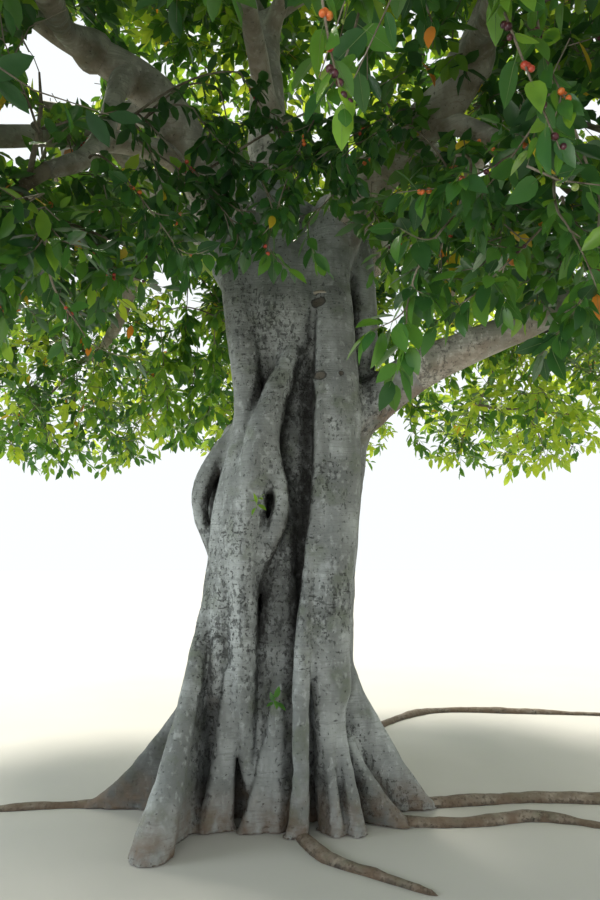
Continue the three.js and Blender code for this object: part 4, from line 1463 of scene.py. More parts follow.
class Rows:
    """Arrays that tell of the same things, row by row."""

    def picked(self, which: Array) -> Self:
        """Gives some of the rows."""
        return type(self)(*(getattr(self, name)[which] for name in self.__dataclass_fields__))

    @classmethod
    def merged(cls, sets: list[Self]) -> Self:
        """Joins sets of rows, one after another."""
        return cls(*(np.concatenate([getattr(rows, name) for rows in sets]) for name in cls.__dataclass_fields__))


@dataclass
class Places(Rows):
    """Places on twigs from which finer ones may grow."""

    spots: Array
    headings: Array
    ways: Array
    girths: Array


@dataclass
class Shoots(Rows):
    """Bent twigs as curves with one control point each."""

    starts: Array
    bends: Array
    ends: Array

    def at(self, shares: Array) -> Array:
        """Reads points of the shoots.

        Args:
            shares: Shares of each shoot's way, the same for all or a row for each.

        Returns:
            Points of shape (shoots, shares, 3).
        """
        t = np.atleast_2d(shares)[..., None]
        a, b, c = (points[:, None] for points in (self.starts, self.bends, self.ends))
        return a * (1 - t) ** 2 + b * 2 * t * (1 - t) + c * t * t

    def heading(self, shares: Array) -> Array:
        """Reads the shoots' headings, with the same shares as for their points.

        Args:
            shares: Shares of each shoot's way.

        Returns:
            Headings of shape (shoots, shares, 3).
        """
        t = np.atleast_2d(shares)[..., None]
        a, b, c = (points[:, None] for points in (self.starts, self.bends, self.ends))
        return unit((b - a) * (1 - t) + (c - b) * t)


@dataclass
class Sprays(Rows):
    """Leaves to be: where each is rooted, how it lies and its colour."""

    roots: Array
    headings: Array
    faces: Array
    lengths: Array
    curls: Array
    tones: Array


@dataclass(frozen=True)
class LeafShape:
    """A leaf's outline on an x axis from its root to its tip, one unit long."""

    points: Array
    faces: Array
    rib_from: int = -1

    def laid(self, sprays: Sprays, rib_tone: int) -> Shape:
        """Lays the leaf out for every place in the sprays.

        Args:
            sprays: The places.
            rib_tone: The tone of a leaf's rib.

        Returns:
            One shape with all the leaves.
        """
        side = np.cross(sprays.faces, sprays.headings)
        x, y, z = self.points.T
        lengths = sprays.lengths[:, None, None]
        points = sprays.roots[:, None] + lengths * (
            x[:, None] * sprays.headings[:, None]
            + y[:, None] * side[:, None]
            + (z * sprays.curls[:, None])[..., None] * sprays.faces[:, None]
        )
        count = len(sprays.roots)
        faces = self.faces + np.arange(count)[:, None, None] * len(self.points)
        tones = np.repeat(sprays.tones[:, None], len(self.faces), axis=1)
        if self.rib_from >= 0:
            tones[:, self.rib_from :] = rib_tone
        return Shape(points.reshape(-1, 3), faces.reshape(-1, 3), tones.ravel(), is_smooth=False)


def plain_leaf(halves: tuple[Pair, ...]) -> LeafShape:
    """Gives a leaf folded along its middle.

    Args:
        halves: Places along it, each with half the leaf's width there.

    Returns:
        The leaf.
    """
    edge = [(x, half, min(0.12 * x, 0.067 - 0.103 * x)) for x, half in halves]
    points = [(0, 0, 0), *((x, -y, z) for x, y, z in edge), (1, 0, -0.11), *reversed(edge), (0.54, 0, -0.045)]
    count = len(points) - 1
    faces = [(k, (k + 1) % count, count) for k in range(count)]
    return LeafShape(np.array(points, float), np.array(faces))


def fine_leaf() -> LeafShape:
    """Gives a leaf with a stalk, a curved blade and a raised rib.

    Returns:
        The leaf.
    """
    stations = np.array([0.17, 0.26, 0.42, 0.62, 0.84, 1.0])
    halves = np.array([0.0, 0.135, 0.205, 0.205, 0.110, 0.0])
    droop = -0.17 * stations**2
    points, rows = [], []
    for x, half, z in zip(stations, halves, droop):
        if half == 0:
            rows.append([len(points)] * 3)
            points.append((x, 0, z))
            continue
        rows.append([len(points), len(points) + 1, len(points) + 2])
        points += [(x, -half, z + 0.16 * half), (x, 0, z), (x, half, z + 0.16 * half)]
    faces = []
    for low, high in zip(rows, rows[1:]):
        for k in (0, 1):
            for face in ((low[k], high[k], high[k + 1]), (low[k], high[k + 1], low[k + 1])):
                if len(set(face)) == 3:
                    faces.append(face)
    rib_from, first = len(faces), len(points)
    along = np.array([0, 0.3, 0.95])
    for x, thick in zip(along, (0.009, 0.0075, 0.0015)):
        for k in range(3):
            turn = 2 * math.pi * k / 3
            points.append((x, thick * math.cos(turn), -0.17 * x * x + thick * math.sin(turn)))
    for i in range(len(along) - 1):
        for k in range(3):
            a, b = first + i * 3 + k, first + i * 3 + (k + 1) % 3
            faces += [(a, a + 3, b), (b, a + 3, b + 3)]
    return LeafShape(np.array(points, float), np.array(faces), rib_from)


# Leaves for where they are seen from afar, where their outline shows, and from near by
COARSE_LEAF = plain_leaf(((0.36, 0.225), (0.70, 0.1935)))
ROUND_LEAF = plain_leaf(((0.22, 0.155), (0.48, 0.225), (0.78, 0.155)))
FINE_LEAF = fine_leaf()


def ball(rounds: int) -> tuple[Array, Array]:
    """Gives a ball of radius one.

    Args:
        rounds: How often the faces of an icosahedron are split in four.

    Returns:
        Its points and its three-cornered faces.
    """
    gold = (1 + 5**0.5) / 2
    points = [np.array(p, float) for a in (-1, 1) for b in (-gold, gold) for p in ((0, a, b), (a, b, 0), (b, 0, a))]
    spots = unit(np.array(points))
    faces = [
        face
        for face in product(range(12), repeat=3)
        if face[0] < min(face[1:])
        and all(np.linalg.norm(spots[a] - spots[b]) < 1.1 for a, b in zip(face, face[1:] + face[:1]) if a != b)
        and len(set(face)) == 3
        and np.dot(np.cross(spots[face[1]] - spots[face[0]], spots[face[2]] - spots[face[0]]), spots[face[0]]) > 0
    ]
    corners = np.array(faces)
    for _ in range(rounds):
        a, b, c = (spots[corners[:, k]] for k in range(3))
        ab, bc, ca = unit(a + b), unit(b + c), unit(c + a)
        spots = np.stack([a, ab, ca, ab, b, bc, ca, bc, c, ab, bc, ca], axis=1).reshape(-1, 3)
        corners = np.arange(len(spots)).reshape(-1, 3)
        _, firsts, owners = np.unique(np.round(spots, 6), axis=0, return_index=True, return_inverse=True)
        spots, corners = spots[firsts], owners.reshape(-1)[corners]
    return spots, corners


@dataclass(frozen=True)
class Opening:
    """A cone of open air in the crown, seen from the viewpoint, where few shoots grow or none.

    Its bareness is the height of noise below which nothing grows there: 1 leaves it empty.
    """

    towards: Triple
    widening: float
    farthest: float = 20000
    bareness: float = 1

    def holds(self, points: Array) -> Array:
        """Tells which points lie in the opening.

        Args:
            points: Points of shape (n, 3).

        Returns:
            True for each point that does.
        """
        off = points - VIEWPOINT
        far = np.linalg.norm(off, axis=1)
        found = off @ unit(np.array(self.towards, float)) > far * math.cos(math.radians(self.widening))
        found &= far < self.farthest
        if self.bareness < 1:
            found[found] = noise(points[found], 210, 91) < self.bareness
        return found


@dataclass(frozen=True)
class Hanging:
    """A twig laid through three given points, which its mass then reaches out to."""

    points: tuple[Triple, Triple, Triple]
    leaves: int
    sides: int = 0
    length: float = 130
    tone: int = 1
    figs: tuple[FigTone, ...] = ()
    last: LeafTone | None = None
    girth: float = 5

    def shoots(self, draws: Draws) -> Shoots:
        """Gives the twig and its side shoots.

        Args:
            draws: Where its draws come from.

        Returns:
            The twig as the first shoot, and then its side shoots.
        """
        start, bend, end = (np.array(point, float)[None] for point in self.points)
        main = Shoots(start, bend, end)
        if not self.sides:
            return main
        shares = np.linspace(0.2, 0.9, self.sides)
        at, along = main.at(shares)[0], main.heading(shares)[0]
        side = unit(np.cross(along, UP + 0.01))
        turn = np.arange(self.sides)[:, None] * GOLDEN_TURN + draws.between(0, 6, 1)
        out = side * np.cos(turn) + np.cross(along, side) * np.sin(turn)
        reach = draws.between(130, 260, self.sides, 1)
        tips = at + unit(along * 0.7 + out - UP * 0.25) * reach
        bends = at + (along + out * 0.3) * reach * 0.45
        return Shoots.merged([main, Shoots(at, bends, tips)])


def seated_leaves(
    draws: Draws, shoots: Shoots, each: int, length: float, middle: Array, droop: Pair
) -> Sprays:
    """Seats leaves along shoots, in a spiral that crowds towards the tip.

    Args:
        draws: Where the draws come from.
        shoots: The shoots.
        each: How many leaves each has.
        length: A leaf's usual length.
        middle: The point that leaves face away from.
        droop: The least and most that leaves hang down.

    Returns:
        The leaves, all of the first tone.
    """
    count = len(shoots.starts)
    shares = 1 - 0.80 * (np.linspace(0, 1, each)[None] ** 1.15) + draws.between(-0.03, 0.03, count, each)
    shares = np.clip(shares, 0.05, 1)
    roots, along = shoots.at(shares), shoots.heading(shares)
    side = unit(np.cross(along, UP + 0.01))
    other = np.cross(along, side)
    turn = draws.between(0, 2 * math.pi, count, 1) + np.arange(each) * GOLDEN_TURN
    radial = side * np.cos(turn)[..., None] + other * np.sin(turn)[..., None]
    lean = eased(shares, 0.55, 1.0)[..., None]
    hang = UP * draws.between(*droop, count, each, 1)
    headings = unit(along * (0.45 + 0.5 * lean) + radial * (1.0 - 0.45 * lean) - hang)
    faces = UP + unit(roots - middle) * 0.3 + (draws.take(count, each, 3) - 0.5) * 1.25
    faces = unit(faces - headings * np.sum(faces * headings, axis=-1, keepdims=True))
    lengths = length * draws.between(0.66, 1.12, count, each) * (1 - 0.25 * eased(shares, 0.93, 1))
    curls = draws.between(0.2, 1.9, count, each)
    return Sprays(
        roots.reshape(-1, 3),
        headings.reshape(-1, 3),
        faces.reshape(-1, 3),
        lengths.ravel(),
        curls.ravel(),
        np.zeros(count * each, int),
    )


@dataclass
class MassGrowth:
    """One mass of foliage, grown by the rule of its solid and carried on to finer twigs."""

    mass: Mass
    space: CrownSpace
    limb: Limb
    balls: Array
    ball_radii: Array
    openings: tuple[Opening, ...]
    stem_nodes: Numbers = (0.35, 0.65, 0.95)
    tips: int = 7
    tip_tries: int = 260
    tip_depth: float = 450
    balance: float = 0.45
    most_growths: int = 2
    side_start: float = 0.08
    sharpest: float = 0.2
    turn_back: float = 0.45
    lead_in: float = 160
    ring_step: float = 150
    bud_step: float = 105
    longest: float = 1500
    crowded: float = 9000
    stem_radius: float = 46
    twig_radius: float = 30
    twig_tip_radius: float = 17
    twig_gain: float = 0.4
    foot_clear: float = 190
    boughlets: int = 44
    boughlet_depth: float = 230
    shoots: int = 380
    more_shoots: float = 1.3
    shoot_depth: float = 95
    leaves_each: int = 10
    leaf_length: float = 150
    far_leaf: float = 1.18
    overhang: float = -60
    draws: Draws = field(init=False)
    foot: Array = field(init=False)
    arrival: Array = field(init=False)

    def __post_init__(self) -> None:
        """Finds the foot and the limbs near by."""
        self.draws = Draws(self.mass.seed)
        self.arrival = self.limb.way.heading([1.0])[0]
        self.foot = self.limb.way.at([1.0])[0]
        near = np.linalg.norm(self.balls - self.foot, axis=1) > self.foot_clear
        near &= np.linalg.norm(self.balls - self.mass.middle, axis=1) < self.mass.reach[0] + 500
        if self.mass.middle[1] > 300 and self.mass.is_low:
            self.shoots = int(self.shoots * self.more_shoots)
        self.balls, self.ball_radii = self.balls[near], self.ball_radii[near]

    def is_clear(self, points: Array, spare: float = 0) -> Array:
        """Tells which points keep clear of the limbs.

        Args:
            points: Points of shape (n, 3).
            spare: Room that they keep beyond that.

        Returns:
            True for each clear point.
        """
        if not len(self.balls):
            return np.ones(len(points), bool)
        gaps = np.linalg.norm(points[:, None] - self.balls, axis=2) - self.ball_radii
        return gaps.min(axis=1) > spare

    def spread(self, taken: Array, count: int, tries: Array) -> Array:
        """Picks tips: each next one is the farthest from those taken.

        Args:
            taken: Points that are taken from the start.
            count: How many tips to pick.
            tries: Points to pick from.

        Returns:
            The tips.
        """
        room = np.full(len(tries), np.inf)
        for point in taken:
            room = np.minimum(room, np.linalg.norm(tries - point, axis=1))
        picked = []
        for _ in range(min(count, len(tries))):
            best = int(np.argmax(room))
            picked.append(tries[best])
            room = np.minimum(room, np.linalg.norm(tries - tries[best], axis=1))
        return np.array(picked)

    def tries(self, wanted: int, depth: float, spare: float, is_exact: bool = False) -> Array:
        """Draws random points in the mass's space.

        Args:
            wanted: How many points to find.
            depth: How deep inside the space they lie at least.
            spare: Room that they keep from the limbs.
            is_exact: Whether the draws are as in the solid, with no heed to openings.

        Returns:
            The points.
        """
        found = []
        total = 0
        while total < wanted:
            offset = (self.draws.take(400, 3) - 0.5) * 2
            points = self.mass.middle + offset * [self.mass.reach[0], self.mass.reach[0], self.mass.reach[1]]
            keep = self.space.depth(self.mass, points) > depth
            keep[keep] = self.is_clear(points[keep], spare)
            if not is_exact:
                for opening in self.openings:
                    keep &= ~opening.holds(points)
            found.append(points[keep])
            total += int(keep.sum())
        return np.concatenate(found)[:wanted]

    def way_is_clear(self, start: Array, end: Array) -> bool:
        """Tells whether a straight twig would stay in the space and clear of the limbs.

        Args:
            start: Where it starts.
            end: Its tip.

        Returns:
            True if it would.
        """
        points = start + (end - start) * np.arange(1, 11)[:, None] / 10
        is_inside = self.space.depth(self.mass, points) > self.twig_radius * 2
        return bool(is_inside.all() and self.is_clear(points, self.twig_radius).all())

    def skeleton(self) -> list[dict]:
        """Grows the solid's own twigs: the stem's nodes, and then each tip by its shortest way.

        Returns:
            Nodes, each with its place, its way from the foot, the node before it and those grown from it.
        """
        nodes: list[dict] = []
        for share in self.stem_nodes:
            at = self.foot + (self.mass.middle - self.foot) * share
            node = {"at": at, "way": float(np.linalg.norm(at - self.foot)), "grown": []}
            if nodes:
                nodes[-1]["grown"].append(node)
            nodes.append(node)
        tries = self.tries(self.tip_tries, self.tip_depth, self.twig_radius, is_exact=True)
        waiting = list(self.spread(np.array([self.foot, self.mass.middle]), self.tips, tries))
        while waiting:
            choices = []
            for i, tip in enumerate(waiting):
                for node in nodes:
                    if len(node["grown"]) < self.most_growths:
                        gap = float(np.linalg.norm(tip - node["at"]))
                        choices.append((gap + self.balance * node["way"], gap, i, node))
            choices.sort(key=lambda choice: choice[0])
            best = next((c for c in choices if self.way_is_clear(c[3]["at"], waiting[c[2]])), None)
            if best is None:
                break
            _, gap, i, parent = best
            node = {"at": waiting.pop(i), "way": parent["way"] + gap, "grown": []}
            parent["grown"].append(node)
            nodes.append(node)
        return nodes

    def tips_beyond(self, node: dict) -> int:
        """Counts the tips that a node carries, itself among them."""
        return 1 + sum(self.tips_beyond(grown) for grown in node["grown"])

    def runs(self, start: Array, girth: float, node: dict) -> list[list[tuple[Array, float]]]:
        """Strings the nodes into runs, each through the fullest growth, with side runs for the others.

        Args:
            start: Where the run starts.
            girth: Its radius there.
            node: The first node.

        Returns:
            Runs of places and radii.
        """
        run = [(start, girth)]
        found = [run]
        here = node
        while here is not None:
            carried = self.twig_tip_radius * self.tips_beyond(here) ** self.twig_gain
            run.append((here["at"], min(carried, self.twig_radius)))
            ordered = sorted(here["grown"], key=self.tips_beyond, reverse=True)
            came = run[-1][0] - run[-2][0]
            if ordered and unit(ordered[0]["at"] - here["at"]) @ unit(came) < self.sharpest:
                for other in ordered:
                    found += self.runs(here["at"] - came * self.turn_back, self.twig_tip_radius, other)
                break
            for other in ordered[1:]:
                at = here["at"] + (ordered[0]["at"] - here["at"]) * self.side_start
                found += self.runs(at, self.twig_tip_radius, other)
            here = ordered[0] if ordered else None
        return found

    def main_twigs(self) -> tuple[Shape, Places]:
        """Makes the solid's own twigs as bent, tapering tubes.

        Returns:
            Their mesh and the places that finer twigs grow from.
        """
        nodes = self.skeleton()
        shapes, places = [], []
        for n, run in enumerate(self.runs(self.foot, self.stem_radius, nodes[0])):
            points, radii = [at for at, _ in run], [radius for _, radius in run]
            if n == 0:
                points = [self.foot - self.arrival * self.lead_in, *points]
                radii = [self.stem_radius, *radii]
            way = SmoothWay(points)
            rings = max(4, int(way.length / self.ring_step))
            shares = np.linspace(0, 1, rings + 1)
            at = way.at(shares)
            at += sway(at, 420, 60) * 42 * (np.sin(np.pi * shares) ** 0.5)[:, None] * (0.5 if n == 0 else 1)
            girth = along_steps(radii, shares) * (1 - 0.55 * shares) if n else along_steps(radii, shares)
            girth = girth * (1 - 0.5 * eased(shares, 0.55, 1))
            shapes.append(tubes(at[None], girth[None], 6))
            buds = np.linspace(0.22 if n == 0 else 0.12, 1, max(3, int(way.length / self.bud_step)))
            spots = np.stack([np.interp(buds, shares, axis) for axis in at.T], axis=1)
            first = float(np.linalg.norm(points[0] - self.foot))
            places.append(Places(spots, way.heading(buds), first + buds * way.length, np.interp(buds, shares, girth)))
        return joined(shapes), Places.merged(places)

    def cost(self, tips: Array, places: Places) -> Array:
        """Weighs places to grow from by the gap, the turn and the way.

        Args:
            tips: The tips.
            places: The places.

        Returns:
            A number for each tip and each place, low for a good one.
        """
        off = tips[:, None] - places.spots
        gap = np.linalg.norm(off, axis=2)
        turn = 1 - np.einsum("ijk,jk->ij", off, places.headings) / np.maximum(gap, 1)
        return gap * (1 + 0.28 * turn) + self.balance * 0.5 * places.ways

    def grow(self, places: Places, tips: Array, budding: Array) -> tuple[Shoots, Places, Array]:
        """Grows a twig to each tip from the place with the shortest way, which new twigs then add to.

        Args:
            places: Places to grow from.
            tips: The tips.
            budding: Shares of a new twig at which it gets places of its own.

        Returns:
            The twigs, their places and the girth that each starts with.
        """
        here = Places.merged([places])
        used = np.zeros(len(here.spots), int)
        waiting = np.ones(len(tips), bool)
        costs = self.cost(tips, here)
        best, choice = costs.min(axis=1), costs.argmin(axis=1)
        shoots, girths, made = [], [], []
        for _ in range(len(tips)):
            tip = int(np.argmin(np.where(waiting, best, np.inf)))
            if not waiting[tip]:
                break
            at = int(choice[tip])
            waiting[tip] = False
            start, end = here.spots[at], tips[tip]
            gap = float(np.linalg.norm(end - start))
            if gap > self.longest:
                continue
            bend = start + unit(here.headings[at] * 0.8 + unit(end - start) * 0.9 + UP * 0.12) * gap * 0.5
            shoots.append(Shoots(start[None], bend[None], end[None]))
            girths.append(here.girths[at])
            used[at] += 1
            if len(budding):
                spots, headings = shoots[-1].at(budding)[0], shoots[-1].heading(budding)[0]
                thin = here.girths[at] * 0.55 * (1 - 0.55 * budding)
                made.append(Places(spots, headings, here.ways[at] + gap * budding, thin))
                first = len(here.spots)
                here = Places.merged([here, made[-1]])
                used = np.concatenate([used, np.zeros(len(budding), int)])
                rest = np.nonzero(waiting)[0]
                costs = self.cost(tips[rest], made[-1])
                better = costs.min(axis=1) < best[rest]
                best[rest[better]] = costs.min(axis=1)[better]
                choice[rest[better]] = first + costs.argmin(axis=1)[better]
            if used[at] >= self.most_growths:
                here.ways[at] += self.crowded
                lost = np.nonzero(waiting & (choice == at))[0]
                costs = self.cost(tips[lost], here)
                best[lost], choice[lost] = costs.min(axis=1), costs.argmin(axis=1)
        return Shoots.merged(shoots), Places.merged(made or [places]), np.array(girths)

    def clear_shoots(self, shoots: Shoots) -> Array:
        """Tells which shoots keep clear of the limbs and out of the openings.

        Args:
            shoots: The shoots.

        Returns:
            True for each clear shoot.
        """
        points = shoots.at(np.array([0.45, 0.8, 1.0]))
        flat = points.reshape(-1, 3)
        keep = self.is_clear(flat, 4)
        for opening in self.openings:
            keep &= ~opening.holds(flat)
        return keep.reshape(points.shape[:2]).all(axis=1)

    def leaves(self, shoots: Shoots, tones: Array) -> Sprays:
        """Seats leaves along shoots.

        Args:
            shoots: The shoots.
            tones: The tone that each shoot's leaves have.

        Returns:
            The leaves that stay in the mass's space, clear of limbs and openings.
        """
        count, each, draws = len(shoots.starts), self.leaves_each, self.draws
        length = self.leaf_length * (1 if self.mass.is_low else self.far_leaf)
        leaves = seated_leaves(draws, shoots, each, length, self.mass.middle, (0.12, 0.5))
        toned = np.repeat(tones[:, None], each, axis=1)
        is_old = draws.take(count) < 0.10
        toned[is_old, -1] = np.where(draws.take(int(is_old.sum())) < 0.72, YELLOW_TONE, ORANGE_TONE)
        fresh = draws.take(count, each) < 0.16
        toned[fresh & (toned < FRESH_TONE)] += 1
        leaves.tones = toned.ravel()
        middles = leaves.roots + leaves.headings * leaves.lengths[:, None] * 0.6
        keep = self.is_clear(middles, -30) & (draws.take(len(middles)) < 0.94)
        keep &= self.space.depth(self.mass, middles) > self.overhang
        for opening in self.openings:
            keep &= ~opening.holds(middles)
        return leaves.picked(keep)


TONES = list(LeafTone)
FRESH_TONE, YELLOW_TONE, ORANGE_TONE, RIB_TONE = (
    TONES.index(tone) for tone in (LeafTone.FRESH, LeafTone.YELLOW, LeafTone.ORANGE, LeafTone.RIB)
)
FIG_TONES = list(FigTone)


class Region(Enum):
    """The parts of the crown whose leaves, twigs and figs are joined."""

    LOW_FRONT = ("lower_8", "lower_9", "lower_1", "lower_2", "inner_left", "inner_right")
    LOW_BACK = ("lower_3", "lower_4", "lower_5", "lower_6", "lower_7", "inner_back")
    MIDDLE = tuple(f"middle_{k}" for k in range(1, 8))
    TOP = tuple(f"top_{k}" for k in range(1, 5))


O, R, P = FigTone.ORANGE, FigTone.RED, FigTone.PURPLE
OLD, SERE = LeafTone.YELLOW, LeafTone.ORANGE
# Each twig's tone runs darker at the front and lighter in inner_back, as painted light: the leaves at the back stand
# lit from behind.
HANGING = {
    "lower_1": (
        Hanging(((139, -3400, 3120), (153, -3400, 2830), (206, -3400, 2650)), 9, 0, 135, 2, (O, O, R, P, P)),
        Hanging(((299, -3200, 3291), (250, -3230, 2930), (173, -3350, 2731)), 8, 1, 135, 1),
        Hanging(((593, -3200, 3291), (668, -3250, 2911), (744, -3300, 2599)), 9, 1, 135, 2, (P, P, R, P, P)),
        Hanging(((820, -3000, 3250), (800, -3050, 3050), (850, -3100, 2880)), 8, 2, 130, 2, (P, O)),
        Hanging(((422, -3000, 3385), (461, -3100, 3193), (469, -3150, 3080)), 7, 0, 120, 1, (), SERE),
        Hanging(((1293, -2300, 3007), (1136, -2575, 2508), (1007, -2550, 2386)), 9, 4, 140, 0),
    ),
    "inner_right": (
        Hanging(((1051, -2500, 2840), (1091, -2600, 2659), (1101, -2650, 2493)), 8, 1, 130, 1, (), SERE),
        Hanging(((1075, -2500, 3260), (728, -2700, 2831), (505, -2700, 2827)), 10, 4, 130, 1, (O, P, R, O)),
        Hanging(((691, -2400, 2892), (432, -2600, 2572), (468, -2600, 2316)), 9, 5, 150, 1, (O,)),
        Hanging(((678, -1200, 4160), (165, -1600, 3644), (24, -1600, 3440)), 9, 6, 130, 1, (R,)),
        Hanging(((700, -1500, 3850), (480, -1750, 3700), (300, -1800, 3500)), 8, 5, 130, 1),
        Hanging(((1084, -2200, 2930), (812, -2450, 2620), (703, -2500, 2515)), 9, 4, 135, 1, (P,)),
        Hanging(((500, -1150, 4300), (300, -1300, 4000), (180, -1400, 3760)), 9, 7, 130, 0),
        Hanging(((620, -1350, 3900), (260, -1500, 3480), (120, -1550, 3260)), 9, 5, 125, 1, (O,)),
    ),
    "inner_left": (
        Hanging(((206, -1500, 3952), (20, -1700, 3500), (-71, -1750, 3000)), 9, 7, 130, 1, (O, R)),
        Hanging(((-93, -1600, 3495), (-47, -1700, 3332), (-25, -1750, 3233)), 8, 1, 130, 1, (), OLD),
        Hanging(((-736, -1300, 3847), (-256, -1650, 3372), (-200, -1600, 3172)), 9, 6, 130, 0, (R,)),
        Hanging(((-377, -1100, 4360), (-197, -1500, 3594), (-341, -1500, 3357)), 9, 7, 130, 0),
        Hanging(((-800, -1700, 3500), (-560, -1900, 3150), (-430, -1900, 2950)), 9, 6, 130, 0, (O,)),
        Hanging(((-500, -1300, 4100), (-330, -1550, 3700), (-120, -1600, 3560)), 9, 7, 125, 0),
        Hanging(((-250, -1200, 4400), (-80, -1350, 4000), (60, -1450, 3800)), 9, 7, 130, 0, (R,)),
        Hanging(((-620, -1450, 3800), (-330, -1600, 3400), (-90, -1620, 3230)), 9, 5, 125, 0, (R,)),
        Hanging(((-666, -1600, 3660), (-599, -1700, 3464), (-562, -1750, 3357)), 8, 1, 125, 1, (), OLD),
        Hanging(((-1048, -1700, 2820), (-924, -1800, 2675), (-848, -1850, 2550)), 8, 2, 130, 1, (R,), SERE),
    ),
    "inner_back": (
        Hanging(((-942, 1300, 4109), (-966, 1400, 3708), (-1012, 1500, 3398)), 11, 9, 150, 2),
        Hanging(((-865, 1600, 3775), (-960, 1800, 3230), (-1022, 1900, 2749)), 11, 10, 150, 2),
        Hanging(((-1171, 1200, 3735), (-1149, 1400, 3227), (-1108, 1500, 2775)), 11, 10, 150, 3),
        Hanging(((-672, 1200, 3735), (-685, 1300, 3295), (-737, 1350, 2840)), 11, 10, 150, 2),
    ),
}
SPROUTS = (
    Hanging(((-172, -520, 1905), (-170, -610, 1925), (-150, -660, 1960)), 6, 0, 88, 3, girth=2.5),
    Hanging(((-58, -400, 715), (-50, -560, 750), (-46, -620, 790)), 6, 0, 84, 2, girth=2),
)


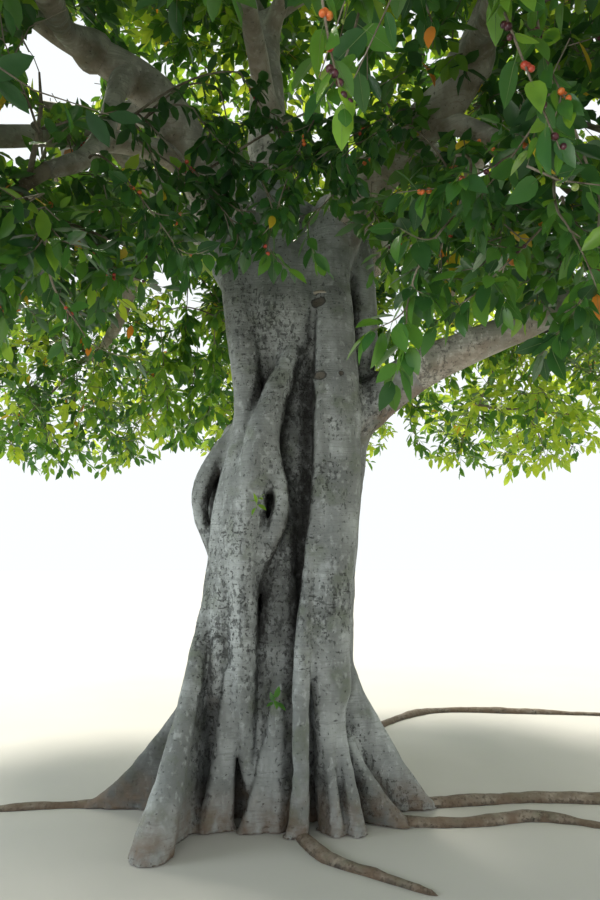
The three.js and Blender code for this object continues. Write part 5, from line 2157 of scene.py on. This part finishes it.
@dataclass
class Foliage:
    """The crown: masses of twigs, leaves and figs, each mass within its solid's space."""

    space: CrownSpace
    limbs: Limbs
    openings: tuple[Opening, ...] = (
        Opening((0, 1, 0), 180, 1150),
        Opening((0, 0.988, 0.152), 39, 2000),
        Opening((-0.329, 0.934, 0.505), 19, 2600),
        Opening((-0.340, 0.904, 0.700), 2.7, bareness=0.8),
        Opening((-0.403, 0.920, 0.597), 2.1, bareness=0.55),
        Opening((-0.264, 0.900, 0.724), 3.4, 4900, 0.45),
        Opening((-0.193, 0.914, 0.633), 3.4, 4700, 0.5),
        Opening((-0.136, 0.927, 0.551), 2.6, 4500, 0.1),
        Opening((-0.386, 0.927, 0.551), 2.1, 4600, 0.3),
        Opening((-0.314, 0.926, 0.553), 2.3, 4700, 0.5),
        Opening((-0.240, 0.925, 0.565), 2.4, 4700, 0.5),
        Opening((0.343, 0.896, 0.753), 3.2, 4600, 0.85),
        Opening((0.257, 0.909, 0.668), 3.5, 4500, 0.9),
        Opening((0.171, 0.918, 0.611), 3.1, 4400, 0.8),
        Opening((0.121, 0.927, 0.548), 2.6, 4400, 0.4),
        Opening((0.256, 0.927, 0.552), 0.8),
        Opening((0.414, 0.917, 0.616), 1.6, bareness=0.3),
        Opening((0.373, 0.932, 0.520), 0.8),
        Opening((0.131, 0.960, 0.336), 0.9),
    )
    near: float = 2450
    middle_far: float = 3900
    fig_radius: float = 10.5
    fig_share: float = 0.12
    far_fig_share: float = 0.05
    hand_near: float = 3650
    tone_shares: Numbers = (0.34, 0.34, 0.20, 0.09, 0.03)

    def tones(self, growth: MassGrowth, ends: Array) -> Array:
        """Deals a tone to each shoot, partly at random and partly as painted light: darker tones deep in the mass,
        lighter ones near its surface and towards the back, where the light comes from behind.

        Args:
            growth: The mass that the shoots grow in.
            ends: The shoots' tips.

        Returns:
            A tone for each shoot.
        """
        draw = growth.draws.take(len(ends)) + 0.10 * noise(ends, 900, 71)
        # Painted light: deeper inside the mass the tones run darker, and towards the back and the right back they run
        # lighter.
        draw += 0.10 * eased(growth.space.depth(growth.mass, ends), 500, 100) - 0.06
        draw += 0.22 * eased(ends[:, 1], -1500, 2600) + 0.30 * eased(ends[:, 0] + ends[:, 1] / 2, 1500, 4000)
        return np.clip(np.searchsorted(np.cumsum(self.tone_shares), draw), 0, len(self.tone_shares) - 1)

    def hanging(self, growth: MassGrowth, places: Places) -> dict[str, list[Shape]]:
        """Makes the listed twigs in a mass, each tied to the nearest growth.

        Args:
            growth: The mass's growth.
            places: The places that its shoots grow from.

        Returns:
            Their twigs, near leaves and figs.
        """
        made: dict[str, list[Shape]] = {"shoots": [], "leaves": [], "near": [], "figs": []}
        for twig in HANGING.get(growth.mass.name, ()):
            shoots = twig.shoots(growth.draws)
            thin = np.full(len(shoots.starts), 3.2)
            thin[0] = twig.girth
            rings = np.linspace(0, 1, 9)
            made["shoots"].append(tubes(shoots.at(rings), thin[:, None] * (1 - 0.55 * rings), 5))
            tie, _, _ = growth.grow(places, shoots.starts[:1], np.array([]))
            tie.bends = (tie.bends + tie.ends * 2 - shoots.bends[:1]) / 2
            made["shoots"].append(tubes(tie.at(rings), (8 - 3 * rings)[None] * twig.girth / 5, 5))
            if twig.leaves:
                shoots = Shoots.merged([shoots, tie])
                leaves = seated_leaves(growth.draws, shoots, twig.leaves, twig.length, growth.mass.middle, (0.3, 1.3))
                draw = growth.draws.take(len(leaves.tones))
                leaves.tones = np.clip(twig.tone + (draw > 0.7) - (draw < 0.25), 0, FRESH_TONE)
                if twig.last:
                    leaves.tones[0] = TONES.index(twig.last)
                is_near = np.linalg.norm(shoots.ends[0] - VIEWPOINT) < self.hand_near
                shape = FINE_LEAF if is_near else ROUND_LEAF
                made["near" if is_near else "leaves"].append(shape.laid(leaves, RIB_TONE))
            for share, tone in zip(np.linspace(0.25, 0.96, len(twig.figs)), twig.figs):
                spot = shoots.at(np.array([share, share - 0.03, share + 0.03]))[0]
                off = growth.draws.take(3, 3) - 0.5
                made["figs"].append(self.fig_balls(growth, spot + unit(off) * self.fig_radius * 1.2, [tone] * 3, 1))
        return made

    def sprouts(self, finishes: list[Material]) -> list[Piece]:
        """Builds the small sprouts that grow straight from the trunk.

        Args:
            finishes: The leaves' materials, one for each tone.

        Returns:
            The pieces.
        """
        wood, leaves = [], []
        draws, rings = Draws(57), np.linspace(0, 1, 5)
        for twig in SPROUTS:
            shoots = twig.shoots(draws)
            wood.append(tubes(shoots.at(rings), twig.girth * (1 - 0.5 * rings)[None], 5))
            sprays = seated_leaves(draws, shoots, twig.leaves, twig.length, np.zeros(3), (-0.1, 0.3))
            sprays.tones += twig.tone
            leaves.append(FINE_LEAF.laid(sprays, RIB_TONE))
        bark = TwigFinish("sprout_bark", (0.20, 0.26, 0.10), (0.10, 0.15, 0.05)).material()
        return [
            joined(wood).piece("trunk_sprout_stems", [bark], "bough_bark", ["trunk"]),
            joined(leaves).piece("trunk_sprout_leaves", finishes, "foliage", ["trunk"]),
        ]

    def fig_balls(self, growth: MassGrowth, spots: Array, tones: list[FigTone], rounds: int) -> Shape:
        """Makes figs.

        Args:
            growth: The mass that they grow in.
            spots: Their middles.
            tones: Their ripeness.
            rounds: How round they are.

        Returns:
            The figs.
        """
        ball_points, ball_faces = ball(rounds)
        size = self.fig_radius * growth.draws.between(0.82, 1.12, len(spots))
        points = spots[:, None] + ball_points * size[:, None, None]
        faces = ball_faces + np.arange(len(spots))[:, None, None] * len(ball_points)
        numbers = [FIG_TONES.index(tone) for tone in tones]
        return Shape(points.reshape(-1, 3), faces.reshape(-1, 3), np.repeat(numbers, len(ball_faces)))

    def figs(self, growth: MassGrowth, shoots: Shoots) -> list[Shape]:
        """Seats figs in small clusters along some of the shoots.

        Args:
            growth: The mass that the shoots grow in.
            shoots: The shoots.

        Returns:
            The figs near the viewpoint and the others, where there are any.
        """
        if not growth.mass.is_low:
            return []
        draws = growth.draws
        share = self.fig_share if growth.mass.middle[1] < 0 else self.far_fig_share
        bearing = np.nonzero(draws.take(len(shoots.starts)) < share)[0]
        tones, spots = [], []
        for i in bearing:
            tone = FIG_TONES[int(draws.take(1)[0] ** 1.3 * len(FIG_TONES))]
            count = 2 + int(draws.take(1)[0] * 4)
            off = (draws.take(count, 3) - 0.5) * 2
            seats = shoots.picked([i]).at(draws.between(0.35, 0.9, count))[0]
            spots.append(seats + unit(off - UP * 0.6) * self.fig_radius * 1.15)
            tones += [tone] * count
        at = np.concatenate(spots) if spots else np.zeros((0, 3))
        is_near = np.linalg.norm(at - VIEWPOINT, axis=1) < self.near
        return [
            self.fig_balls(growth, at[which], [tone for tone, keep in zip(tones, which) if keep], rounds)
            for which, rounds in ((is_near, 1), (~is_near, 0))
            if which.any()
        ]

    def mass_shapes(self, growth: MassGrowth) -> dict[str, list[Shape]]:
        """Grows one mass.

        Args:
            growth: The mass's growth.

        Returns:
            Its wood with four-cornered faces, and its leaves, near leaves and figs.
        """
        twigs, places = growth.main_twigs()
        tries = growth.tries(growth.boughlets * 12, growth.boughlet_depth, 20)
        tips = growth.spread(places.spots, growth.boughlets, tries)
        boughlets, more, girths = growth.grow(places, tips, np.array([0.25, 0.4, 0.55, 0.7, 0.85, 1.0]))
        keep = growth.clear_shoots(boughlets)
        boughlets = boughlets.picked(keep)
        girths = np.minimum(girths[keep] * 0.6, 15)
        rings = np.linspace(0, 1, 6)
        ways = boughlets.at(rings)
        ways[:, 1:-1] += sway(ways[:, 1:-1], 170, 80) * 16
        wood = [twigs, tubes(ways, girths[:, None] * (1 - 0.62 * rings), 4)]
        outer = places.picked(places.ways > 0.55 * places.ways.max())
        tries = growth.tries(growth.shoots * 5, growth.shoot_depth, -8)
        depth = growth.space.depth(growth.mass, tries)
        tries = tries[growth.draws.take(len(tries)) < 1 - 0.55 * eased(depth, 450, 1200)]
        tips = growth.spread(boughlets.ends, growth.shoots, tries)
        places = Places.merged([more, outer])
        laid = self.hanging(growth, places)
        shoots, _, _ = growth.grow(places, tips, np.array([]))
        shoots = shoots.picked(growth.clear_shoots(shoots))
        rings = np.linspace(0, 1, 3 if growth.mass.is_low else 2)
        wood.append(tubes(shoots.at(rings), np.tile(4.6 * (1 - 0.6 * rings), (len(shoots.starts), 1)), 3))
        sprays = growth.leaves(shoots, self.tones(growth, shoots.ends))
        far = np.linalg.norm(sprays.roots - VIEWPOINT, axis=1)
        is_near, is_middle = far < self.near, (far >= self.near) & (far < self.middle_far)
        near = [FINE_LEAF.laid(sprays.picked(is_near), RIB_TONE)] if is_near.any() else []
        plain = [ROUND_LEAF.laid(sprays.picked(is_middle), RIB_TONE)] if is_middle.any() else []
        plain.append(COARSE_LEAF.laid(sprays.picked(far >= self.middle_far), RIB_TONE))
        return {
            "wood": wood + laid["shoots"],
            "leaves": plain + laid["leaves"],
            "near": near + laid["near"],
            "figs": self.figs(growth, shoots) + laid["figs"],
        }

    def build(self) -> list[Piece]:
        """Builds the crown, with each region's leaves, twigs and figs joined apart.

        Returns:
            The pieces.
        """
        leaf_finishes = [tone.value.material() for tone in TONES]
        fig_finishes = [tone.value.material() for tone in FIG_TONES]
        dress = {
            "wood": ("twigs_{}", [TwigFinish("twig_bark").material()], "bough_bark"),
            "leaves": ("leaves_{}", leaf_finishes, "foliage"),
            "near": ("leaves_{}_fine", leaf_finishes, "foliage"),
            "figs": ("figs_{}", fig_finishes, "foliage"),
        }
        feeders = {limb.feeds: limb for limb in self.limbs.all.values()}
        balls, ball_radii = self.limbs.guards()
        pieces = self.sprouts(leaf_finishes)
        for region in Region:
            gathered: dict[str, list[Shape]] = {kind: [] for kind in dress}
            for name in region.value:
                mass = self.space.masses[name]
                growth = MassGrowth(mass, self.space, feeders[name], balls, ball_radii, self.openings)
                for kind, shapes in self.mass_shapes(growth).items():
                    gathered[kind] += shapes
            for kind, (name, finishes, slot) in dress.items():
                if gathered[kind]:
                    full_name = name.format(region.name.lower())
                    nodes = [f"mass_{mass}" for mass in region.value]
                    pieces.append(joined(gathered[kind]).piece(full_name, finishes, slot, nodes))
        return pieces


# The studio


@dataclass
class Studio:
    """A plain pale floor, soft light and the camera at the photograph's place and angle."""

    pitch: float = 8.7708
    lens: float = 28
    floor_size: float = 160
    sky: Triple = (0.94, 0.98, 1.0)
    sky_strength: float = 1.05

    def camera(self) -> None:
        """Sets the camera up."""
        data = bpy.data.cameras.new("camera")
        data.lens = self.lens
        data.sensor_width = 36
        data.clip_start, data.clip_end = 0.05, 500
        camera = placed("camera", data)
        camera.location = tuple(value * METRE for value in VIEWPOINT)
        camera.rotation_euler = (math.radians(90 + self.pitch), 0, 0)
        bpy.context.scene.camera = camera

    def floor(self) -> None:
        """Lays the floor."""
        half = self.floor_size / 2
        mesh = bpy.data.meshes.new("floor")
        corners = [(-half, -half, 0), (half, -half, 0), (half, half, 0), (-half, half, 0)]
        mesh.from_pydata(corners, [], [(0, 1, 2, 3)])
        mesh.materials.append(FloorFinish().material())
        floor = placed("floor", mesh)
        floor.location.z = -0.002

    def world(self) -> None:
        """Lights the whole sky evenly."""
        world = bpy.data.worlds.new("studio")
        world.use_nodes = True
        shade = world.node_tree.nodes["Background"]
        shade.inputs["Color"].default_value = (*self.sky, 1)
        shade.inputs["Strength"].default_value = self.sky_strength
        bpy.context.scene.world = world

    def panel(
        self, name: str, place: Triple, target: Triple, size: Pair, watts: float, colour: Triple
    ) -> None:
        """Hangs a soft light panel.

        Args:
            name: Its name.
            place: Where it hangs, in metres.
            target: What it faces.
            size: Its width and height.
            watts: Its power.
            colour: Its colour.
        """
        data = bpy.data.lights.new(name, "AREA")
        data.shape = "RECTANGLE"
        data.size, data.size_y = size
        data.energy = watts
        data.color = colour
        light = placed(name, data)
        light.location = place
        light.visible_camera = False
        light.rotation_mode = "QUATERNION"
        light.rotation_quaternion = (Vector(target) - Vector(place)).to_track_quat("-Z", "Y")

    def sun(self) -> None:
        """Adds a wide soft sun from behind and above, which shines through the leaves."""
        data = bpy.data.lights.new("sun", "SUN")
        data.energy = 5.5
        data.angle = math.radians(12)
        data.color = (1.0, 0.95, 0.84)
        placed("sun", data).rotation_euler = (math.radians(-38), math.radians(-22), 0)

    def build(self) -> None:
        """Builds the studio."""
        bpy.context.scene.view_settings.view_transform = "Standard"
        self.camera()
        self.floor()
        self.world()
        self.sun()
        self.panel("key", (-7.5, -2.1, 2.4), (0, 0, 2.5), (3.0, 1.6), 262, (0.86, 0.95, 1.0))
        self.panel("front", (-2.2, -7.6, 2.0), (0, 0, 2.8), (2.6, 2.0), 105, (1.0, 0.99, 0.97))
        self.panel("low", (4.6, -1.6, 0.9), (0.7, 0, 0.5), (2.2, 1.2), 42, (1.0, 1.0, 0.86))


def note_sizes() -> None:
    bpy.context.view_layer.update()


def main() -> None:
    """Builds the studio and the tree, and reports each piece."""
    logging.basicConfig(level=logging.INFO, format="%(message)s")
    Studio().build()
    space = CrownSpace()
    limbs = Limbs(space)
    for assembly in (Trunk(limbs), Boughs(limbs), SurfaceRoots(), Foliage(space, limbs)):
        for piece in assembly.build():
            report.info("%s: %d faces", piece.name, len(piece.data.polygons))
    note_sizes()


if __name__ == "__main__":
    main()
